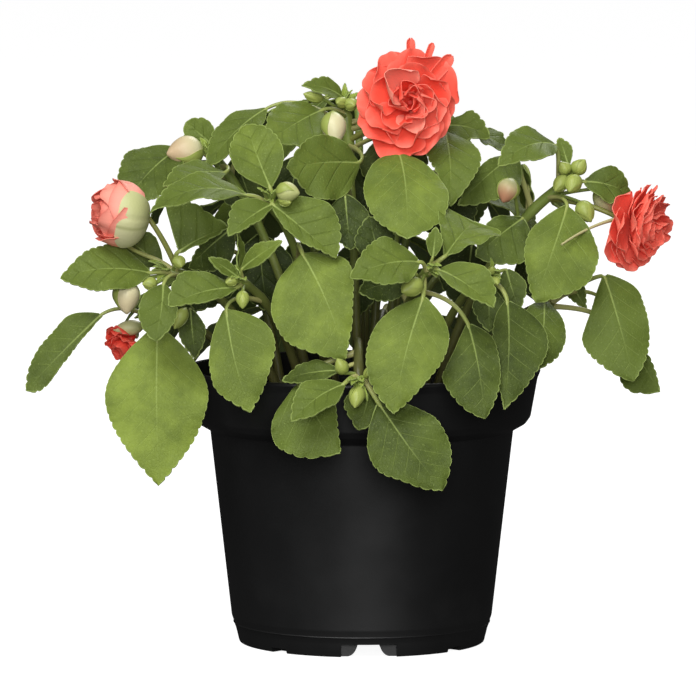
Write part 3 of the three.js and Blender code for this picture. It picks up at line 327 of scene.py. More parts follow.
def sideways(axis):
    """A direction across an axis, level unless the axis is nearly upright."""
    return np.cross(axis, UP if abs(axis[2]) < 0.9 else FRONT)


def ringed(side, over, degrees):
    """Directions at angles that count from `side` towards `over`."""
    angle = np.radians(degrees)
    return side * np.cos(angle)[..., None] + over * np.sin(angle)[..., None]


def bezier(*corners, samples):
    t = np.linspace(0, 1, samples)[:, None]
    order = len(corners) - 1
    weights = [math.comb(order, k) * (1 - t) ** (order - k) * t**k for k in range(order + 1)]
    return sum(weight * vec(corner) for weight, corner in zip(weights, corners))


class Path:
    """A line of close points. Its places are found by their share of its length."""

    def __init__(self, points):
        self.points = vec(points)
        steps = np.linalg.norm(np.diff(self.points, axis=0), axis=1)
        self.reached = np.concatenate([[0], np.cumsum(steps)])

    def at(self, shares):
        where = np.asarray(shares, float) * self.reached[-1]
        return np.stack([np.interp(where, self.reached, self.points[:, k]) for k in range(3)], axis=-1)

    def heading(self, share):
        near, far = self.at([max(share - 0.01, 0), min(share + 0.01, 1)])
        return unit(far - near)


def new_object(name, data):
    made = bpy.data.objects.new(name, data)
    bpy.context.scene.collection.objects.link(made)
    return made


def plain_object(name, points, faces):
    mesh = bpy.data.meshes.new(name)
    mesh.from_pydata((vec(points) * MM).tolist(), [], faces)
    return new_object(name, mesh)


SHARP_EDGE = math.radians(50)


class Skin:
    """The surface of one piece as it grows: its points, its faces, and values that its material reads."""

    def __init__(self, names):
        self.points = []
        self.faces = []
        self.values = {name: [] for name in names}
        self.count = 0

    def add(self, points, faces, **values):
        self.points.append(points)
        self.faces += [[corner + self.count for corner in face] for face in faces]
        for name, chunks in self.values.items():
            chunks.append(np.broadcast_to(values.get(name, 0.0), len(points)))
        self.count += len(points)

    def add_sheet(self, grid, thickness, **values):
        """Adds a thin blade over a grid of points, with the same values on its upper and its lower face, but
        for "under", which is 1 on the lower one."""
        points, faces = sheet(grid, thickness)
        size = grid.shape[:2]
        doubled = {name: np.tile(np.broadcast_to(value, size).ravel(), 2) for name, value in values.items()}
        self.add(points, faces, under=np.repeat([0, 1], size[0] * size[1]), **doubled)

    def piece(self, name, material, slot, *nodes):
        made = plain_object(name, np.concatenate(self.points), self.faces)
        for value, chunks in self.values.items():
            attribute = made.data.attributes.new(value, "FLOAT", "POINT")
            attribute.data.foreach_set("value", np.concatenate(chunks).astype(np.float32))
        made.data.shade_smooth()
        made.data.set_sharp_from_angle(angle=SHARP_EDGE)
        made.data.materials.append(material)
        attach(made, "root")
        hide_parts(*nodes)


def band(low, high, count):
    """Faces between two rings of `count` points, which are given by the numbers of their first points."""
    return [[low + k, low + (k + 1) % count, high + (k + 1) % count, high + k] for k in range(count)]


def tube(path, radii, sides, flat=1.0, side=None):
    """Points and faces of a closed tube, and each point's share of its length. radii: one for each ring,
    evenly spaced. flat: its height as a share of its width, which lies along `side`."""
    shares = np.linspace(0, 1, len(radii))
    across = sideways(path.heading(0)) if side is None else side
    points = []
    for share, centre, radius in zip(shares, path.at(shares), radii):
        heading = path.heading(share)
        across = unit(across - heading * (across @ heading))
        over = np.cross(heading, across)
        for angle in np.linspace(0, 2 * math.pi, sides, endpoint=False):
            points.append(centre + radius * (across * math.cos(angle) + over * flat * math.sin(angle)))
    faces = []
    for ring in range(len(radii) - 1):
        faces += band(ring * sides, (ring + 1) * sides, sides)
    last = (len(radii) - 1) * sides
    faces.append(list(range(sides))[::-1])
    faces.append(list(range(last, last + sides)))
    return vec(points), faces, np.repeat(shares, sides)


def sheet(grid, thickness):
    """Points and faces of a thin closed blade over a grid of points (rows, columns, 3). The upper face's
    points come first, then the lower's."""
    rows, columns = grid.shape[:2]
    count = rows * columns
    normals = np.cross(np.gradient(grid, axis=0), np.gradient(grid, axis=1))
    normals /= np.linalg.norm(normals, axis=2, keepdims=True) + 1e-12
    rise = normals * np.broadcast_to(thickness, (rows, columns))[..., None] / 2
    points = np.concatenate([(grid + rise).reshape(-1, 3), (grid - rise).reshape(-1, 3)])
    index = np.arange(count).reshape(rows, columns)
    upper = np.stack([index[:-1, :-1], index[1:, :-1], index[1:, 1:], index[:-1, 1:]], axis=-1).reshape(-1, 4)
    lower = upper[:, ::-1] + count
    loop = np.concatenate([index[:-1, 0], index[-1, :-1], index[:0:-1, -1], index[0, :0:-1]])
    following = np.roll(loop, -1)
    rim = np.stack([loop + count, following + count, following, loop], axis=-1)
    return points, np.concatenate([upper, lower, rim]).tolist()


# ---------------------------------------------------------------- leaves

LEAF = {
    "thickness": 0.45,
    "columns": [0, 0.035, 0.1, 0.2, 0.34, 0.5, 0.66, 0.8, 0.91, 0.975, 1],
    "few_columns": [0, 0.08, 0.25, 0.5, 0.75, 1],
    "small": 16,  # a shorter leaf has few columns
    "claw": 0.9,  # half the blade's width where it meets its stalk
    "narrowest": 0.12,
    "tooth_pitch": 2.7,
    "teeth": (5, 20),  # the fewest and the most on a side
    "tooth_rows": [0, 0.22, 0.5, 0.8],
    "tooth_depth": 0.36,
    "tooth_share": 0.03,  # a tooth's greatest depth, as a share of the blade's width
    "tooth_lean": 0.25,
    "teeth_begin": (0.12, 0.26),
    "teeth_end": (0.94, 1),
    "vein_pitch": 6.5,
    "veins": (3, 8),  # the fewest and the most on a side
    "vein_slant": 0.5,  # how far forward a side vein ends, as a share of the blade's width
    "quilt": 0.45,  # how high the blade swells between its side veins
    "quilted_folds": (-8, 10),  # folds (degrees) of a flat leaf and of one whose veins are sunk the most
    "groove": 0.35,  # depth of the midrib's groove
    "groove_half": 0.9,
    "crease": 1.5,  # mm each side of the midrib over which the halves' fold is rounded
    "full_width": 30,  # a narrower blade has a lower relief
    "ripple": 1.0,  # height of the waves at the margin
    "wave": 0.035,  # height of each half's slow wave, as a share of its width
    "sway": 0.03,  # how far the midrib bends sideways, as a share of the length
    # painted shade: how much darker a blade is painted towards its base
    "base_painted_shade": 0.14,
}
LEAF_VALUES = ["along", "out", "rim", "phase", "tone", "under", "quilted"]

# Leaves are painted darker towards the middle of the bush, as painted shade. half: its half-sizes. shade:
# where, as a share of them, the darkest part ends and the light begins.
BUSH_PAINTED_SHADE = {"centre": (0, 0, 110), "half": (115, 95, 105), "shade": (0.35, 0.8), "darker": 0.4}


def leaf_outline(along, widest, at_base, at_tip):
    """Half-width along the blade, 0 at both ends and 1 at its widest."""
    behind = 1 - (np.clip(widest - along, 0, 1) / widest) ** at_base
    ahead = 1 - (np.clip(along - widest, 0, 1) / (1 - widest)) ** at_tip
    return np.minimum(behind, ahead)


def half_shapes(left=PLAIN, right=None, lean=0):
    """The shapes of a leaf's halves and how much wider the right one is, from the end of its row."""
    return left, right or left, lean


def about(length, pitch, limits):
    """How many steps of about one pitch go into a length, within limits."""
    return int(np.clip(round(length / pitch), *limits))


def tooth_rows(teeth):
    """Rows along the blade's length, and how far out of its notch the margin is at each of them."""
    along, out = [], []
    for tooth in range(teeth):
        for share in LEAF["tooth_rows"]:
            along.append((tooth + share) / teeth)
            out.append(math.sin(math.pi * share**0.8) ** 0.6)
    return vec([*along, 1])[:, None], vec([*out, 0])[:, None]


def leaf_lift(u, v, out, phase, size, bend, rng):
    """How far the blade's points stand above a flat blade. u: share of the length. v: -1 at the left margin,
    1 at the right one. out: distance from the midrib. phase: one more from each side vein to the next."""
    length, width = size
    arch, fold, quilted = bend
    side = np.sign(v)
    stray, swing = rng.uniform(0, 1), rng.uniform(2.2, 3.2)
    relief = min(width / LEAF["full_width"], 1)
    crease = np.sqrt(out**2 + LEAF["crease"] ** 2) - LEAF["crease"]
    lift = arch * length * 4 * u * (1 - u) + crease * math.tan(math.radians(fold))
    lift = lift + LEAF["wave"] * out * np.sin(2 * math.pi * (2 * u + 0.25 * side))
    ripple = np.sin(2 * math.pi * (swing * u + stray + 0.4 * side))
    lift = lift + relief * LEAF["ripple"] * np.abs(v) ** 3 * ripple
    puff = np.sin(math.pi * np.abs(v) ** 0.8) * np.sin(math.pi * u) ** 0.5 * (0.3 + 0.7 * quilted)
    lift = lift + relief * LEAF["quilt"] * (0.5 - 0.5 * np.cos(2 * math.pi * phase)) * puff
    return lift - relief * LEAF["groove"] * np.exp(-((out / LEAF["groove_half"]) ** 2)) * (1 - u)


def grow_leaf(leaves, stalks, row, stem, tone, rng):
    _, place, base, tip, width, look, arch, fold, *shapes = row
    left, right, lean = half_shapes(*shapes)
    base, tip = vec(base), vec(tip)
    length = np.linalg.norm(tip - base)
    axis = (tip - base) / length
    normal = unit(vec(look) - axis * (axis @ vec(look)))
    across = np.cross(normal, axis)

    teeth = about(length, LEAF["tooth_pitch"], LEAF["teeth"])
    u, tooth = tooth_rows(teeth)
    half_columns = LEAF["few_columns"] if length < LEAF["small"] else LEAF["columns"]
    v = vec([-column for column in half_columns[:0:-1]] + half_columns)[None, :]
    shown = smooth(u, *LEAF["teeth_begin"]) * (1 - smooth(u, *LEAF["teeth_end"]))
    uneven = 0.75 + 0.45 * np.sin(7.3 * teeth * u + length)
    notches = min(LEAF["tooth_depth"], LEAF["tooth_share"] * width) * (1 - tooth) * shown * uneven
    outline = np.where(v < 0, leaf_outline(u, *left), leaf_outline(u, *right))
    half = width / 2 * (1 + lean * np.sign(v)) * outline + LEAF["claw"] * (1 - u) ** 8 - notches
    half = np.maximum(half, LEAF["narrowest"])
    out = np.abs(v) * half
    veins = about(length, LEAF["vein_pitch"], LEAF["veins"])
    phase = veins * (u - LEAF["vein_slant"] * width / length * np.abs(v) ** 0.85 * outline)

    quilted = smooth(fold, *LEAF["quilted_folds"])
    lift = leaf_lift(u, v, out, phase, (length, width), (arch, fold, quilted), rng)
    forward = LEAF["tooth_lean"] / teeth * (tooth * shown) * np.abs(v) ** 8
    sway = LEAF["sway"] * length * rng.uniform(-1, 1) * np.sin(math.pi * u)
    grid = base + (u + forward)[..., None] * length * axis + lift[..., None] * normal
    grid = grid + (v * half + sway)[..., None] * across
    # Painted shade: darker towards the middle of the bush and towards the blade's base.
    from_middle = np.linalg.norm((grid - vec(BUSH_PAINTED_SHADE["centre"])) / vec(BUSH_PAINTED_SHADE["half"]), axis=2)
    painted_inner_shade = 1 - smooth(from_middle, *BUSH_PAINTED_SHADE["shade"])
    painted_base_shade = 1 - smooth(u, 0, 0.5)
    leaves.add_sheet(
        grid,
        LEAF["thickness"],
        along=u,
        out=out,
        rim=half - out,
        phase=phase,
        tone=tone - BUSH_PAINTED_SHADE["darker"] * painted_inner_shade - LEAF["base_painted_shade"] * painted_base_shade,
        quilted=quilted,
    )
    grow_petiole(stalks, stem_exit(stem, place, base), base, axis, normal, across, length, arch, width)


PETIOLE = {
    "root": 1.1,
    "thick": [1.2, 1, 0.7, 0.42, 0.1],  # at the stem, past the foot, at the blade, under it, at the end
    "foot": 0.12,  # the swollen foot's share of the stalk
    "slim": (0.45, 30),  # the least share of that thickness, and the blade's width that adds 1 to it
    "flat": 0.8,
    "straight": 0.25,
    "rise": 0.16,
    "rib": 0.86,  # how far it runs on along the blade
    "sunk": 0.6,  # how deep that stretch is sunk, as a share of the blade's thickness
    "sides": 10,
}


def grow_petiole(stalks, start, base, axis, normal, across, length, arch, width):
    """A leaf's stalk, which runs on as the raised midrib under its blade."""
    reach = np.linalg.norm(base - start)
    ahead = smooth(axis @ (base - start) / reach, -0.6, 0.4)
    middle = (start + base) / 2 + UP * PETIOLE["rise"] * reach * lerp(0.2, 1, ahead)
    arrive = lerp(base, middle, 0.4) - (axis * ahead + normal * (1 - ahead)) * PETIOLE["straight"] * reach
    stalk = bezier(start, lerp(start, middle, 0.7), arrive, base, samples=40)
    u = np.linspace(0, PETIOLE["rib"], 30)[1:, None]
    sunk = LEAF["thickness"] * PETIOLE["sunk"] + 0.25 * (1 - u)
    rib = base + axis * u * length + normal * (arch * length * 4 * u * (1 - u) - sunk)
    joint = reach / (reach + PETIOLE["rib"] * length)
    least, gain = PETIOLE["slim"]
    shares = np.linspace(0, 1, 34)
    thick = np.interp(shares, [0, PETIOLE["foot"] * joint, joint, lerp(joint, 1, 0.2), 1], PETIOLE["thick"])
    radii = PETIOLE["root"] * min(1, least + width / gain) * thick
    path = Path(np.concatenate([stalk, rib]))
    points, faces, along = tube(path, radii, PETIOLE["sides"], PETIOLE["flat"], across)
    root = 1 - smooth(along, 0, joint)
    stalks.add(points, faces, green=0.25 * smooth(along, joint * 0.8, 1), cream=0.15 * root, pink=0.15 * root)


# ---------------------------------------------------------------- stems, buds and flower stalks

STALK_VALUES = ["green", "pink", "cream", "lime", "dark"]

# foot, tip: a stem's radii. depth: how deep its foot stands in the soil. bend_out, bend_up: where its middle
# is drawn to, as shares of its way. knot: how far it swells where a leaf starts. knot_half: how far along it
# that reaches (share of its length).
STEM = {
    "foot": 1.8,
    "tip": 1.4,
    "depth": 14,
    "bend_out": 0.35,
    "bend_up": 0.72,
    "knot": 0.3,
    "knot_half": 0.035,
    "sides": 14,
    "shade": (95, 165),  # heights between which its painted shade fades out
}


def stem_path(shoot):
    start = vec([*shoot["foot"], SOIL_TOP - STEM["depth"]])
    end = vec(shoot["tip"])
    bend = lerp(start, end, STEM["bend_out"])
    bend[2] = SOIL_TOP + STEM["bend_up"] * (end[2] - SOIL_TOP) + shoot["rise"]
    return Path(bezier(start, bend, end, samples=120))


def stem_exit(stem, place, target):
    """Where a stalk that leads to `target` leaves the stem."""
    centre = stem.at(place)
    heading = stem.heading(place)
    aim = target - centre
    return centre + unit(aim - heading * (aim @ heading)) * STEM["tip"] * 0.6


def grow_stem(stalks, shoot, stem):
    shares = np.linspace(0, 1, 36)
    radii = lerp(STEM["foot"], STEM["tip"], shares)
    for place in {row[1] for row in shoot["leaves"]}:
        radii = radii + STEM["knot"] * np.exp(-(((shares - place) / STEM["knot_half"]) ** 2))
    radii = radii * (1 - 0.7 * smooth(shares, 0.97, 1))
    points, faces, along = tube(stem, radii, STEM["sides"])
    # Lower down, the stem is painted darker as painted shade under the leaves; the same mask also gives it
    # its real pink tint.
    shade = 1 - smooth(points[:, 2], *STEM["shade"])
    stalks.add(points, faces, green=0.25 + 0.3 * along, dark=shade, pink=0.08 * shade)


def egg_radius(share):
    """A pointed egg's radius from its heel to its tip, as a share of its greatest."""
    return np.sin(math.pi * np.clip(share, 0.02, 0.985) ** 0.82) ** 0.72


def grow_egg(stalks, near, far, width, ripe, pink):
    radii = width / 2 * egg_radius(np.linspace(0, 1, 18))
    points, faces, along = tube(Path(bezier(near, far, samples=20)), radii, 18)
    pale, rosy = ripe * smooth(along, 0, 0.3), pink * smooth(along, 0.15, 0.9)
    stalks.add(points, faces, green=0.1, lime=1 - 0.5 * along, cream=pale, pink=rosy)


# The green sepals that clasp a bud: half their breadth (degrees), their number, and how far up it they reach
# (share of its length). Each is a shell that stands a little proud of the bud and swells in its middle.
SEPALS = {"ripe": (36, 2, 0.85), "unripe": (50, 3, 0.9)}
SEPAL = {"turn": -30, "edge": 2, "thickness": 0.22, "proud": 0.12, "swell": 0.03}


def grow_sepals(stalks, near, far, width, reach, count, end):
    axis = unit(far - near)
    side = unit(sideways(axis))
    over = np.cross(axis, side)
    length = np.linalg.norm(far - near)
    u = np.linspace(0.02, end, 14)[:, None]
    v = np.linspace(-1, 1, 9)[None, :]
    breadth = reach * (1 - smooth(u / end, 0.2, 1.05)) ** 0.8 + SEPAL["edge"]
    radius = width / 2 * egg_radius(u) * (1 + SEPAL["swell"] * (1 - v**2)) + SEPAL["proud"]
    for k in range(count):
        ring = ringed(side, over, 360 * k / count + SEPAL["turn"] + breadth * v)
        grid = near + (u * length)[..., None] * axis + radius[..., None] * ring
        stalks.add_sheet(grid[:, ::-1], SEPAL["thickness"], green=0.3, lime=0.5)


def grow_bud(stalks, row, stem, ripe, pink):
    """ripe: how much of its pale petals shows (0 to 1)."""
    place, near, far, width = row
    near, far = vec(near), vec(far)
    start = stem_exit(stem, place, near)
    middle = (start + near) / 2 + UP * 0.5
    points, faces, _ = tube(Path(bezier(start, middle, near, samples=20)), np.linspace(0.75, 0.6, 10), 8)
    stalks.add(points, faces, green=0.45)
    grow_egg(stalks, near, far, width, ripe, pink)
    grow_sepals(stalks, near, far, width, *SEPALS["ripe" if ripe else "unripe"])


# The thin horn behind a flower: its rise in the middle, and its radii at shares of its length.
SPUR = {"rise": 2.5, "radii": ([0, 0.5, 1], [0.8, 0.5, 0.4])}
# The swollen sepal above the small flower: its heel, its tip, its width, how ripe it is and how pink.
POUCH = [vec([-78, -29, 117.5]), vec([-89, -31, 116.5]), 5.6, 0.6, 0.1]


def grow_flower_stalk(stalks, name, bloom, stem):
    radius, depth = bloom["cup"]
    base, through = vec(bloom["base"]), vec(bloom["through"])
    heel = base - unit(vec(bloom["face"])) * depth
    start = stem_exit(stem, bloom["place"], through)
    points, faces, _ = tube(Path(bezier(start, through, heel, samples=40)), np.linspace(1.1, 0.9, 20), 10)
    stalks.add(points, faces, green=0.6, pink=0.15)
    if name == "bloom_left":
        grow_bud_sepals(stalks, bloom)
        return
    radii = radius * np.sin(math.pi / 2 * np.clip(np.linspace(0, 1, 14), 0.02, 1) ** 0.75) ** 0.8
    points, faces, along = tube(Path([heel, lerp(heel, base, 0.5), base]), radii, 24)
    stalks.add(points, faces, green=0.7 - 0.3 * along, cream=0.5 * along)
    if name == "bloom_low":
        grow_egg(stalks, *POUCH)
    if "spur" in bloom:
        end = vec(bloom["spur"])
        horn = Path(bezier(heel, lerp(heel, end, 0.5) + UP * SPUR["rise"], end, samples=40))
        points, faces, _ = tube(horn, np.interp(np.linspace(0, 1, 20), *SPUR["radii"]), 12)
        stalks.add(points, faces, cream=0.5, pink=0.12)


# ---------------------------------------------------------------- growing tips

SPROUT = {"count": 9, "length": (3, 7.5), "width": (1.3, 2.8), "stalk": 1.2, "bend": (0.1, 38), "tone": 0.75}


def grow_sprout(leaves, stalks, shoot, stem, rng):
    """The crumpled young leaves at a shoot's growing point."""
    tip = vec(shoot["tip"])
    heading = stem.heading(1)
    for _ in range(SPROUT["count"]):
        aim = unit(heading + FRONT * 0.5 + vec([rng.uniform(-1, 1) for _ in range(3)]))
        base = tip + aim * SPROUT["stalk"]
        far = base + aim * rng.uniform(*SPROUT["length"])
        look = unit(UP + FRONT * 0.6 - aim * 0.5)
        row = ["sprout", 1, base, far, rng.uniform(*SPROUT["width"]), look, *SPROUT["bend"]]
        grow_leaf(leaves, stalks, row, stem, SPROUT["tone"], rng)


# ---------------------------------------------------------------- blooms

PETAL = {
    "thickness": 0.3,
    "rows": 20,
    "columns": 25,
    "overlap": 17,  # degrees that a petal is turned about its length, so that it lies over the next one
    "stray": 7,  # degrees
    "root_depth": 0.6,
    "root_low": 30,  # degrees that a petal's root sits lower than the petal leans
    "corner": (0.3, 2.2),  # how far a petal's corners are drawn back, and the power of that curve
    "notch": 0.06,
    "tongue": 0.4,  # a narrower petal, as a share of its length, has a round tip
    "uneven": 0.12,  # how much paler or deeper than the next a petal may be
}
PETAL_VALUES = ["along", "edge", "across", "blush", "deep"]

# core: radius of the petals' heart, and how far out of the cup its middle stands (share of that radius).
# layers, from the outside in: number of petals, length, width, tilt from flat (degrees), turn (degrees), arch
# and curl of the tip (shares of the length), cup and ruffle (shares of the width).
# between: tilt, size and stray (degrees) of a second petal set between those of each layer.
# placed: other petals, each by its angle, tilt, length, width, cup, curl and blush; they share one ruffle.
# frills: waves along a petal's edge. blush, deep: how much paler or deeper than coral; the deeper red is
# partly the flower's own colour and partly painted shade.
# folded: number, length, width and cup of the petals folded up in the middle.
# tongues: angle, tilt, length and width of stray petals.
BLOOM_LOOKS = {
    "bloom_top": dict(
        core=(5, 0.8), layers=[], frills=1.2, ruffle=0.09, folded=(3, 8, 7, 0.4), blush=0, deep=0,
        placed=[
            (46, 8, 20.2, 25, 0.03, 0.04, 0),
            (86, 3, 20.4, 19, 0.04, 0.06, 0),
            (116, 7, 20.8, 19, 0.05, 0.04, 0.15),
            (148, 10, 19.6, 18, 0.06, 0.08, 0),
            (176, 4, 20, 20, 0.04, 0.08, 0),
            (208, 8, 21, 22, 0.05, 0.08, 0),
            (248, 9, 23, 23, 0.04, 0.04, 0),
            (286, 13, 19.8, 20, 0.07, 0.08, 0.05),
            (322, 13, 17.4, 19, 0.09, 0.08, 0.1),
            (355, 11, 16.6, 18, 0.08, 0.06, 0),
            (18, 24, 16.2, 17, 0.12, 0.04, 0),
            (206, 20, 17.6, 19, 0.08, 0.06, 0),
            (262, 24, 17.4, 17, 0.12, 0.08, 0),
            (304, 27, 16, 15, 0.16, 0.1, 0.15),
            (338, 31, 15, 14, 0.18, 0.1, 0.2),
            (164, 28, 16, 17, 0.14, 0, 0),
            (84, 26, 15.6, 17, 0.1, 0.02, 0),
            (132, 44, 18.4, 15, 0.55, -0.06, 0.45),
            (228, 40, 15, 14, 0.25, 0.06, 0),
            (28, 52, 13, 12, 0.3, 0.05, 0.1),
            (350, 50, 13, 10, 0.4, 0.1, 0.3),
            (286, 44, 14.2, 12, 0.42, 0.2, 0.45),
            (318, 58, 12.4, 10, 0.4, 0.08, 0.25),
            (186, 58, 12, 10, 0.4, 0, 0),
            (104, 60, 13.4, 10, 0.5, -0.04, 0),
            (66, 70, 12.4, 8, 0.45, 0, 0),
        ],
        tongues=[(90, -6, 20.9, 3.2), (70, -4, 20.3, 2.5), (49, 0, 19.7, 4.6)],
    ),
    "bloom_right": dict(
        core=(4.5, 0.8), between=(12, 0.97, 10), frills=1.2, ruffle=0.08, folded=(6, 11, 8, 0.2),
        blush=0.14, deep=0.02,
        layers=[
            (5, 17.5, 17.25, 0, 0, -0.05, 0.02, 0.1, 0.05),
            (5, 17, 15.525, 26, 36, -0.1, 0.1, 0.1, 0.06),
            (4, 15, 13.2, 48, 10, -0.12, 0.14, 0.12, 0.07),
            (3, 13, 10.8, 68, 40, -0.12, 0.14, 0.15, 0.08),
        ],
        placed=[
            (112, 5, 16.6, 14, 0.05, 0.02, 0),
            (102, 8, 17, 14, 0.05, 0.02, 0.15),
            (90, 5, 17.2, 14, 0.05, 0.02, 0.05),
            (99, 18, 16.6, 13, 0.08, 0.04, 0.2),
            (84, 32, 16.5, 11, 0.15, 0.1, 0.15),
            (140, 24, 16.5, 13, 0.12, 0.06, 0.05),
            (112, 38, 16, 12, 0.15, 0.1, 0.1),
        ],
        tongues=[],
    ),
    "bloom_low": dict(
        core=(3, 0.8), between=(15, 0.9, 10), frills=1.3, folded=(3, 5, 5, 0.35), blush=0, deep=0.35,
        layers=[
            (5, 10, 9.6, 22, 0, -0.08, 0.1, 0.15, 0.12),
            (4, 9, 7.2, 55, 35, -0.1, 0, 0.3, 0.12),
        ],
        placed=[],
        tongues=[(262, -5, 12, 5.5)],
    ),
}
PLACED_ARCH = -0.06
TONGUE_BOW = (0, 0.05, 0.2, 0.04)  # arch, curl, cup and ruffle


def frilled(u, v, frills, rng):
    """Waves that grow from a petal's root towards its edge."""
    a, b, c = (rng.uniform(0, 2 * math.pi) for _ in range(3))
    broad = np.sin(2.6 * frills * v + a)
    return u**2 * (broad + 0.5 * u * np.sin(5.5 * frills * v + b) + 0.12 * u**4 * np.sin(10 * frills * v + c))


def add_petal(petals, grid, u, v, shade, rng, rim_deep=0.0):
    """shade: blush and deep. rim_deep: how much deeper its rim is."""
    blush, deep = shade
    rim = np.maximum(u**8, np.abs(v) ** 8 * smooth(u, 0.1, 0.5))
    petals.add_sheet(
        grid,
        PETAL["thickness"] * (1.25 - 0.5 * u),
        along=u,
        edge=rim * (1 - rim_deep),
        across=v,
        blush=blush + rng.uniform(0, PETAL["uneven"]),
        deep=deep + rng.uniform(0, PETAL["uneven"]) + rim_deep * rim,
    )


def petal_grid():
    return np.linspace(0, 1, PETAL["rows"])[:, None], np.linspace(-1, 1, PETAL["columns"])[None, :]


def grow_petal(petals, root, along, look, size, bow, frills, shade, rng):
    """size: length and width. bow: arch, curl, cup and ruffle. shade: blush and deep."""
    length, width = size
    arch, curl, cup, ruffle = bow
    normal = unit(look - along * (along @ look))
    across = np.cross(normal, along)
    u, v = petal_grid()
    breadth = 0.2 + 0.8 * smooth(u, -0.2, 0.66)
    corner, power = PETAL["corner"]
    rounding = 1 - 0.34 * smooth(u, 0.55, 1.1) ** 1.4
    if width < PETAL["tongue"] * length:
        tip = 0.7 * width / length
        corner, rounding = 0, np.sqrt(1 - np.clip((u - 1 + tip) / tip, 0, 0.98) ** 2)
    out = width / 2 * breadth * rounding * v
    notch = PETAL["notch"] * np.exp(-((v / 0.3) ** 2)) * rng.uniform(0, 1)
    reach = u * (1 - corner * np.abs(v) ** power * u - notch * u**3)
    lift = arch * length * 4 * u * (1 - u) + cup * width * v**2 * smooth(u, 0, 0.4) - curl * length * u**3
    lift = lift + ruffle * width * frilled(u, v, frills, rng) * (0.35 + 0.65 * np.abs(v))
    grid = root + (reach * length)[..., None] * along + lift[..., None] * normal + out[..., None] * across
    add_petal(petals, grid, u, v, shade, rng)


def grow_bloom(name, bloom, rng):
    petals = Skin(PETAL_VALUES)
    looks = BLOOM_LOOKS[name]
    base, front = vec(bloom["base"]), unit(vec(bloom["face"]))
    core, core_out = looks["core"]
    centre = base + front * (core * core_out + 0.35)
    side = unit(np.cross(UP, front))
    up = np.cross(front, side)

    def place_petal(angle, lean, root_at, size, bow, depth, paler=0.0):
        """angle: about the face. lean, root_at: out of the plane across it, of the petal and of its root."""
        angle, lean, root_at = math.radians(angle), math.radians(lean), math.radians(root_at)
        radial = side * math.cos(angle) + up * math.sin(angle)
        along = radial * math.cos(lean) + front * math.sin(lean)
        look = turned(front * math.cos(lean) - radial * math.sin(lean), along, PETAL["overlap"])
        root = centre + depth * (radial * math.cos(root_at) + front * math.sin(root_at))
        shade = (looks["blush"] + paler, looks["deep"])
        grow_petal(petals, root, along, look, size, bow, looks["frills"], shade, rng)

    depth = core * PETAL["root_depth"]
    for count, length, width, tilt, turn, *bow in looks["layers"]:
        for k in range(count):
            angle = turn + 360 * k / count + PETAL["stray"] * math.sin(5 * k + length)
            lean = tilt + PETAL["stray"] * math.sin(3 * k + length)
            low = tilt - PETAL["root_low"]
            place_petal(angle, lean, low, (length - depth, width), bow, depth)
            steeper, smaller, stray = looks["between"]
            reach = (length - depth) * smaller * rng.uniform(1 - 0.01 * stray, 1)
            beside = angle + 180 / count + rng.uniform(-stray, stray)
            leaning = lean + steeper + rng.uniform(-stray, stray) * math.sin(math.radians(lean))
            place_petal(beside, leaning, low, (reach, width), bow, depth)
    for angle, tilt, length, width, cup, curl, paler in looks["placed"]:
        bow = (PLACED_ARCH, curl, cup, looks["ruffle"])
        place_petal(angle, tilt, tilt - PETAL["root_low"], (length - depth, width), bow, depth, paler)
    for angle, tilt, length, width in looks["tongues"]:
        place_petal(angle, tilt, 0, (length, width), TONGUE_BOW, depth)

    count, length, width, cup = looks["folded"]
    for k in range(count):
        size = (length * rng.uniform(0.8, 1.15), width * rng.uniform(0.7, 1.2))
        place_petal(137.5 * k, 66 + 4 * k, 60, size, (-0.12, 0.05, cup, 0.12), 0.35 * depth + 0.4)
    heart = Path([base, centre + front * core * 0.4])
    points, faces, _ = tube(heart, core * np.array([0.4, 0.6, 0.5, 0.15]), 10)
    # The heart is painted the deepest red: painted shade in the middle of the flower, with some of its own
    # deep red.
    petals.add(points, faces, deep=1)
    return petals


# The half-open bloom is an egg of wrapped petals, clasped by two broad sepals.
# outer: each outermost petal's turn (degrees from the front, upwards), end, half-width and flare.
# layers: petals, share of the egg's radius, where they start and end (from its heel), half-width (degrees),
# turn (degrees) and flare of the tips.
# sepals: the turn (degrees) and the size of each. seam: where its groove runs, its half-width and depth; the
# groove is also painted darker, as painted shade.
BUD_BLOOM = {
    "radius": 11.6,
    "length": 23.5,
    "outer": [
        (88, 14, 44, 2),
        (25, 17.5, 46, 1.2),
        (-30, 16.5, 46, 1),
        (-82, 18.5, 42, 2.4),
        (155, 16, 46, 1),
        (210, 18, 46, 1),
    ],
    "outer_start": 4,
    "layers": [
        (5, 0.9, 6, 19.5, 48, 55, 1.2),
        (4, 0.72, 9, 20.5, 52, 10, 1.0),
        (3, 0.45, 10, 20.5, 60, 40, 0.6),
    ],
    "frills": 1.3,
    "frill_height": 0.5,
    "blush": 1.0,
    "rim_deep": 0.4,
    "sepals": [(-10, 1.0), (170, 0.7)],
    "sepal": {"start": 0.3, "end": 14.4, "half": 58, "seam": (0.15, 0.04, 0.35), "thickness": 0.4},
}


def bud_radius(reach):
    """Radius of the half-open bloom, `reach` mm from its heel."""
    share = np.clip(reach / BUD_BLOOM["length"], 0.0005, 0.98)
    return BUD_BLOOM["radius"] * np.sin(math.pi * share**0.75) ** 0.7


def on_bud(bloom, reach, radius, degrees):
    """Points of the half-open bloom, by their reach from its heel, radius and turn from the front."""
    front = unit(vec(bloom["face"]))
    heel = vec(bloom["base"]) - front * bloom["cup"][1]
    near = unit(FRONT - front * (front @ FRONT))
    over = np.cross(front, near)
    return heel + reach[..., None] * front + radius[..., None] * ringed(near, over, degrees)


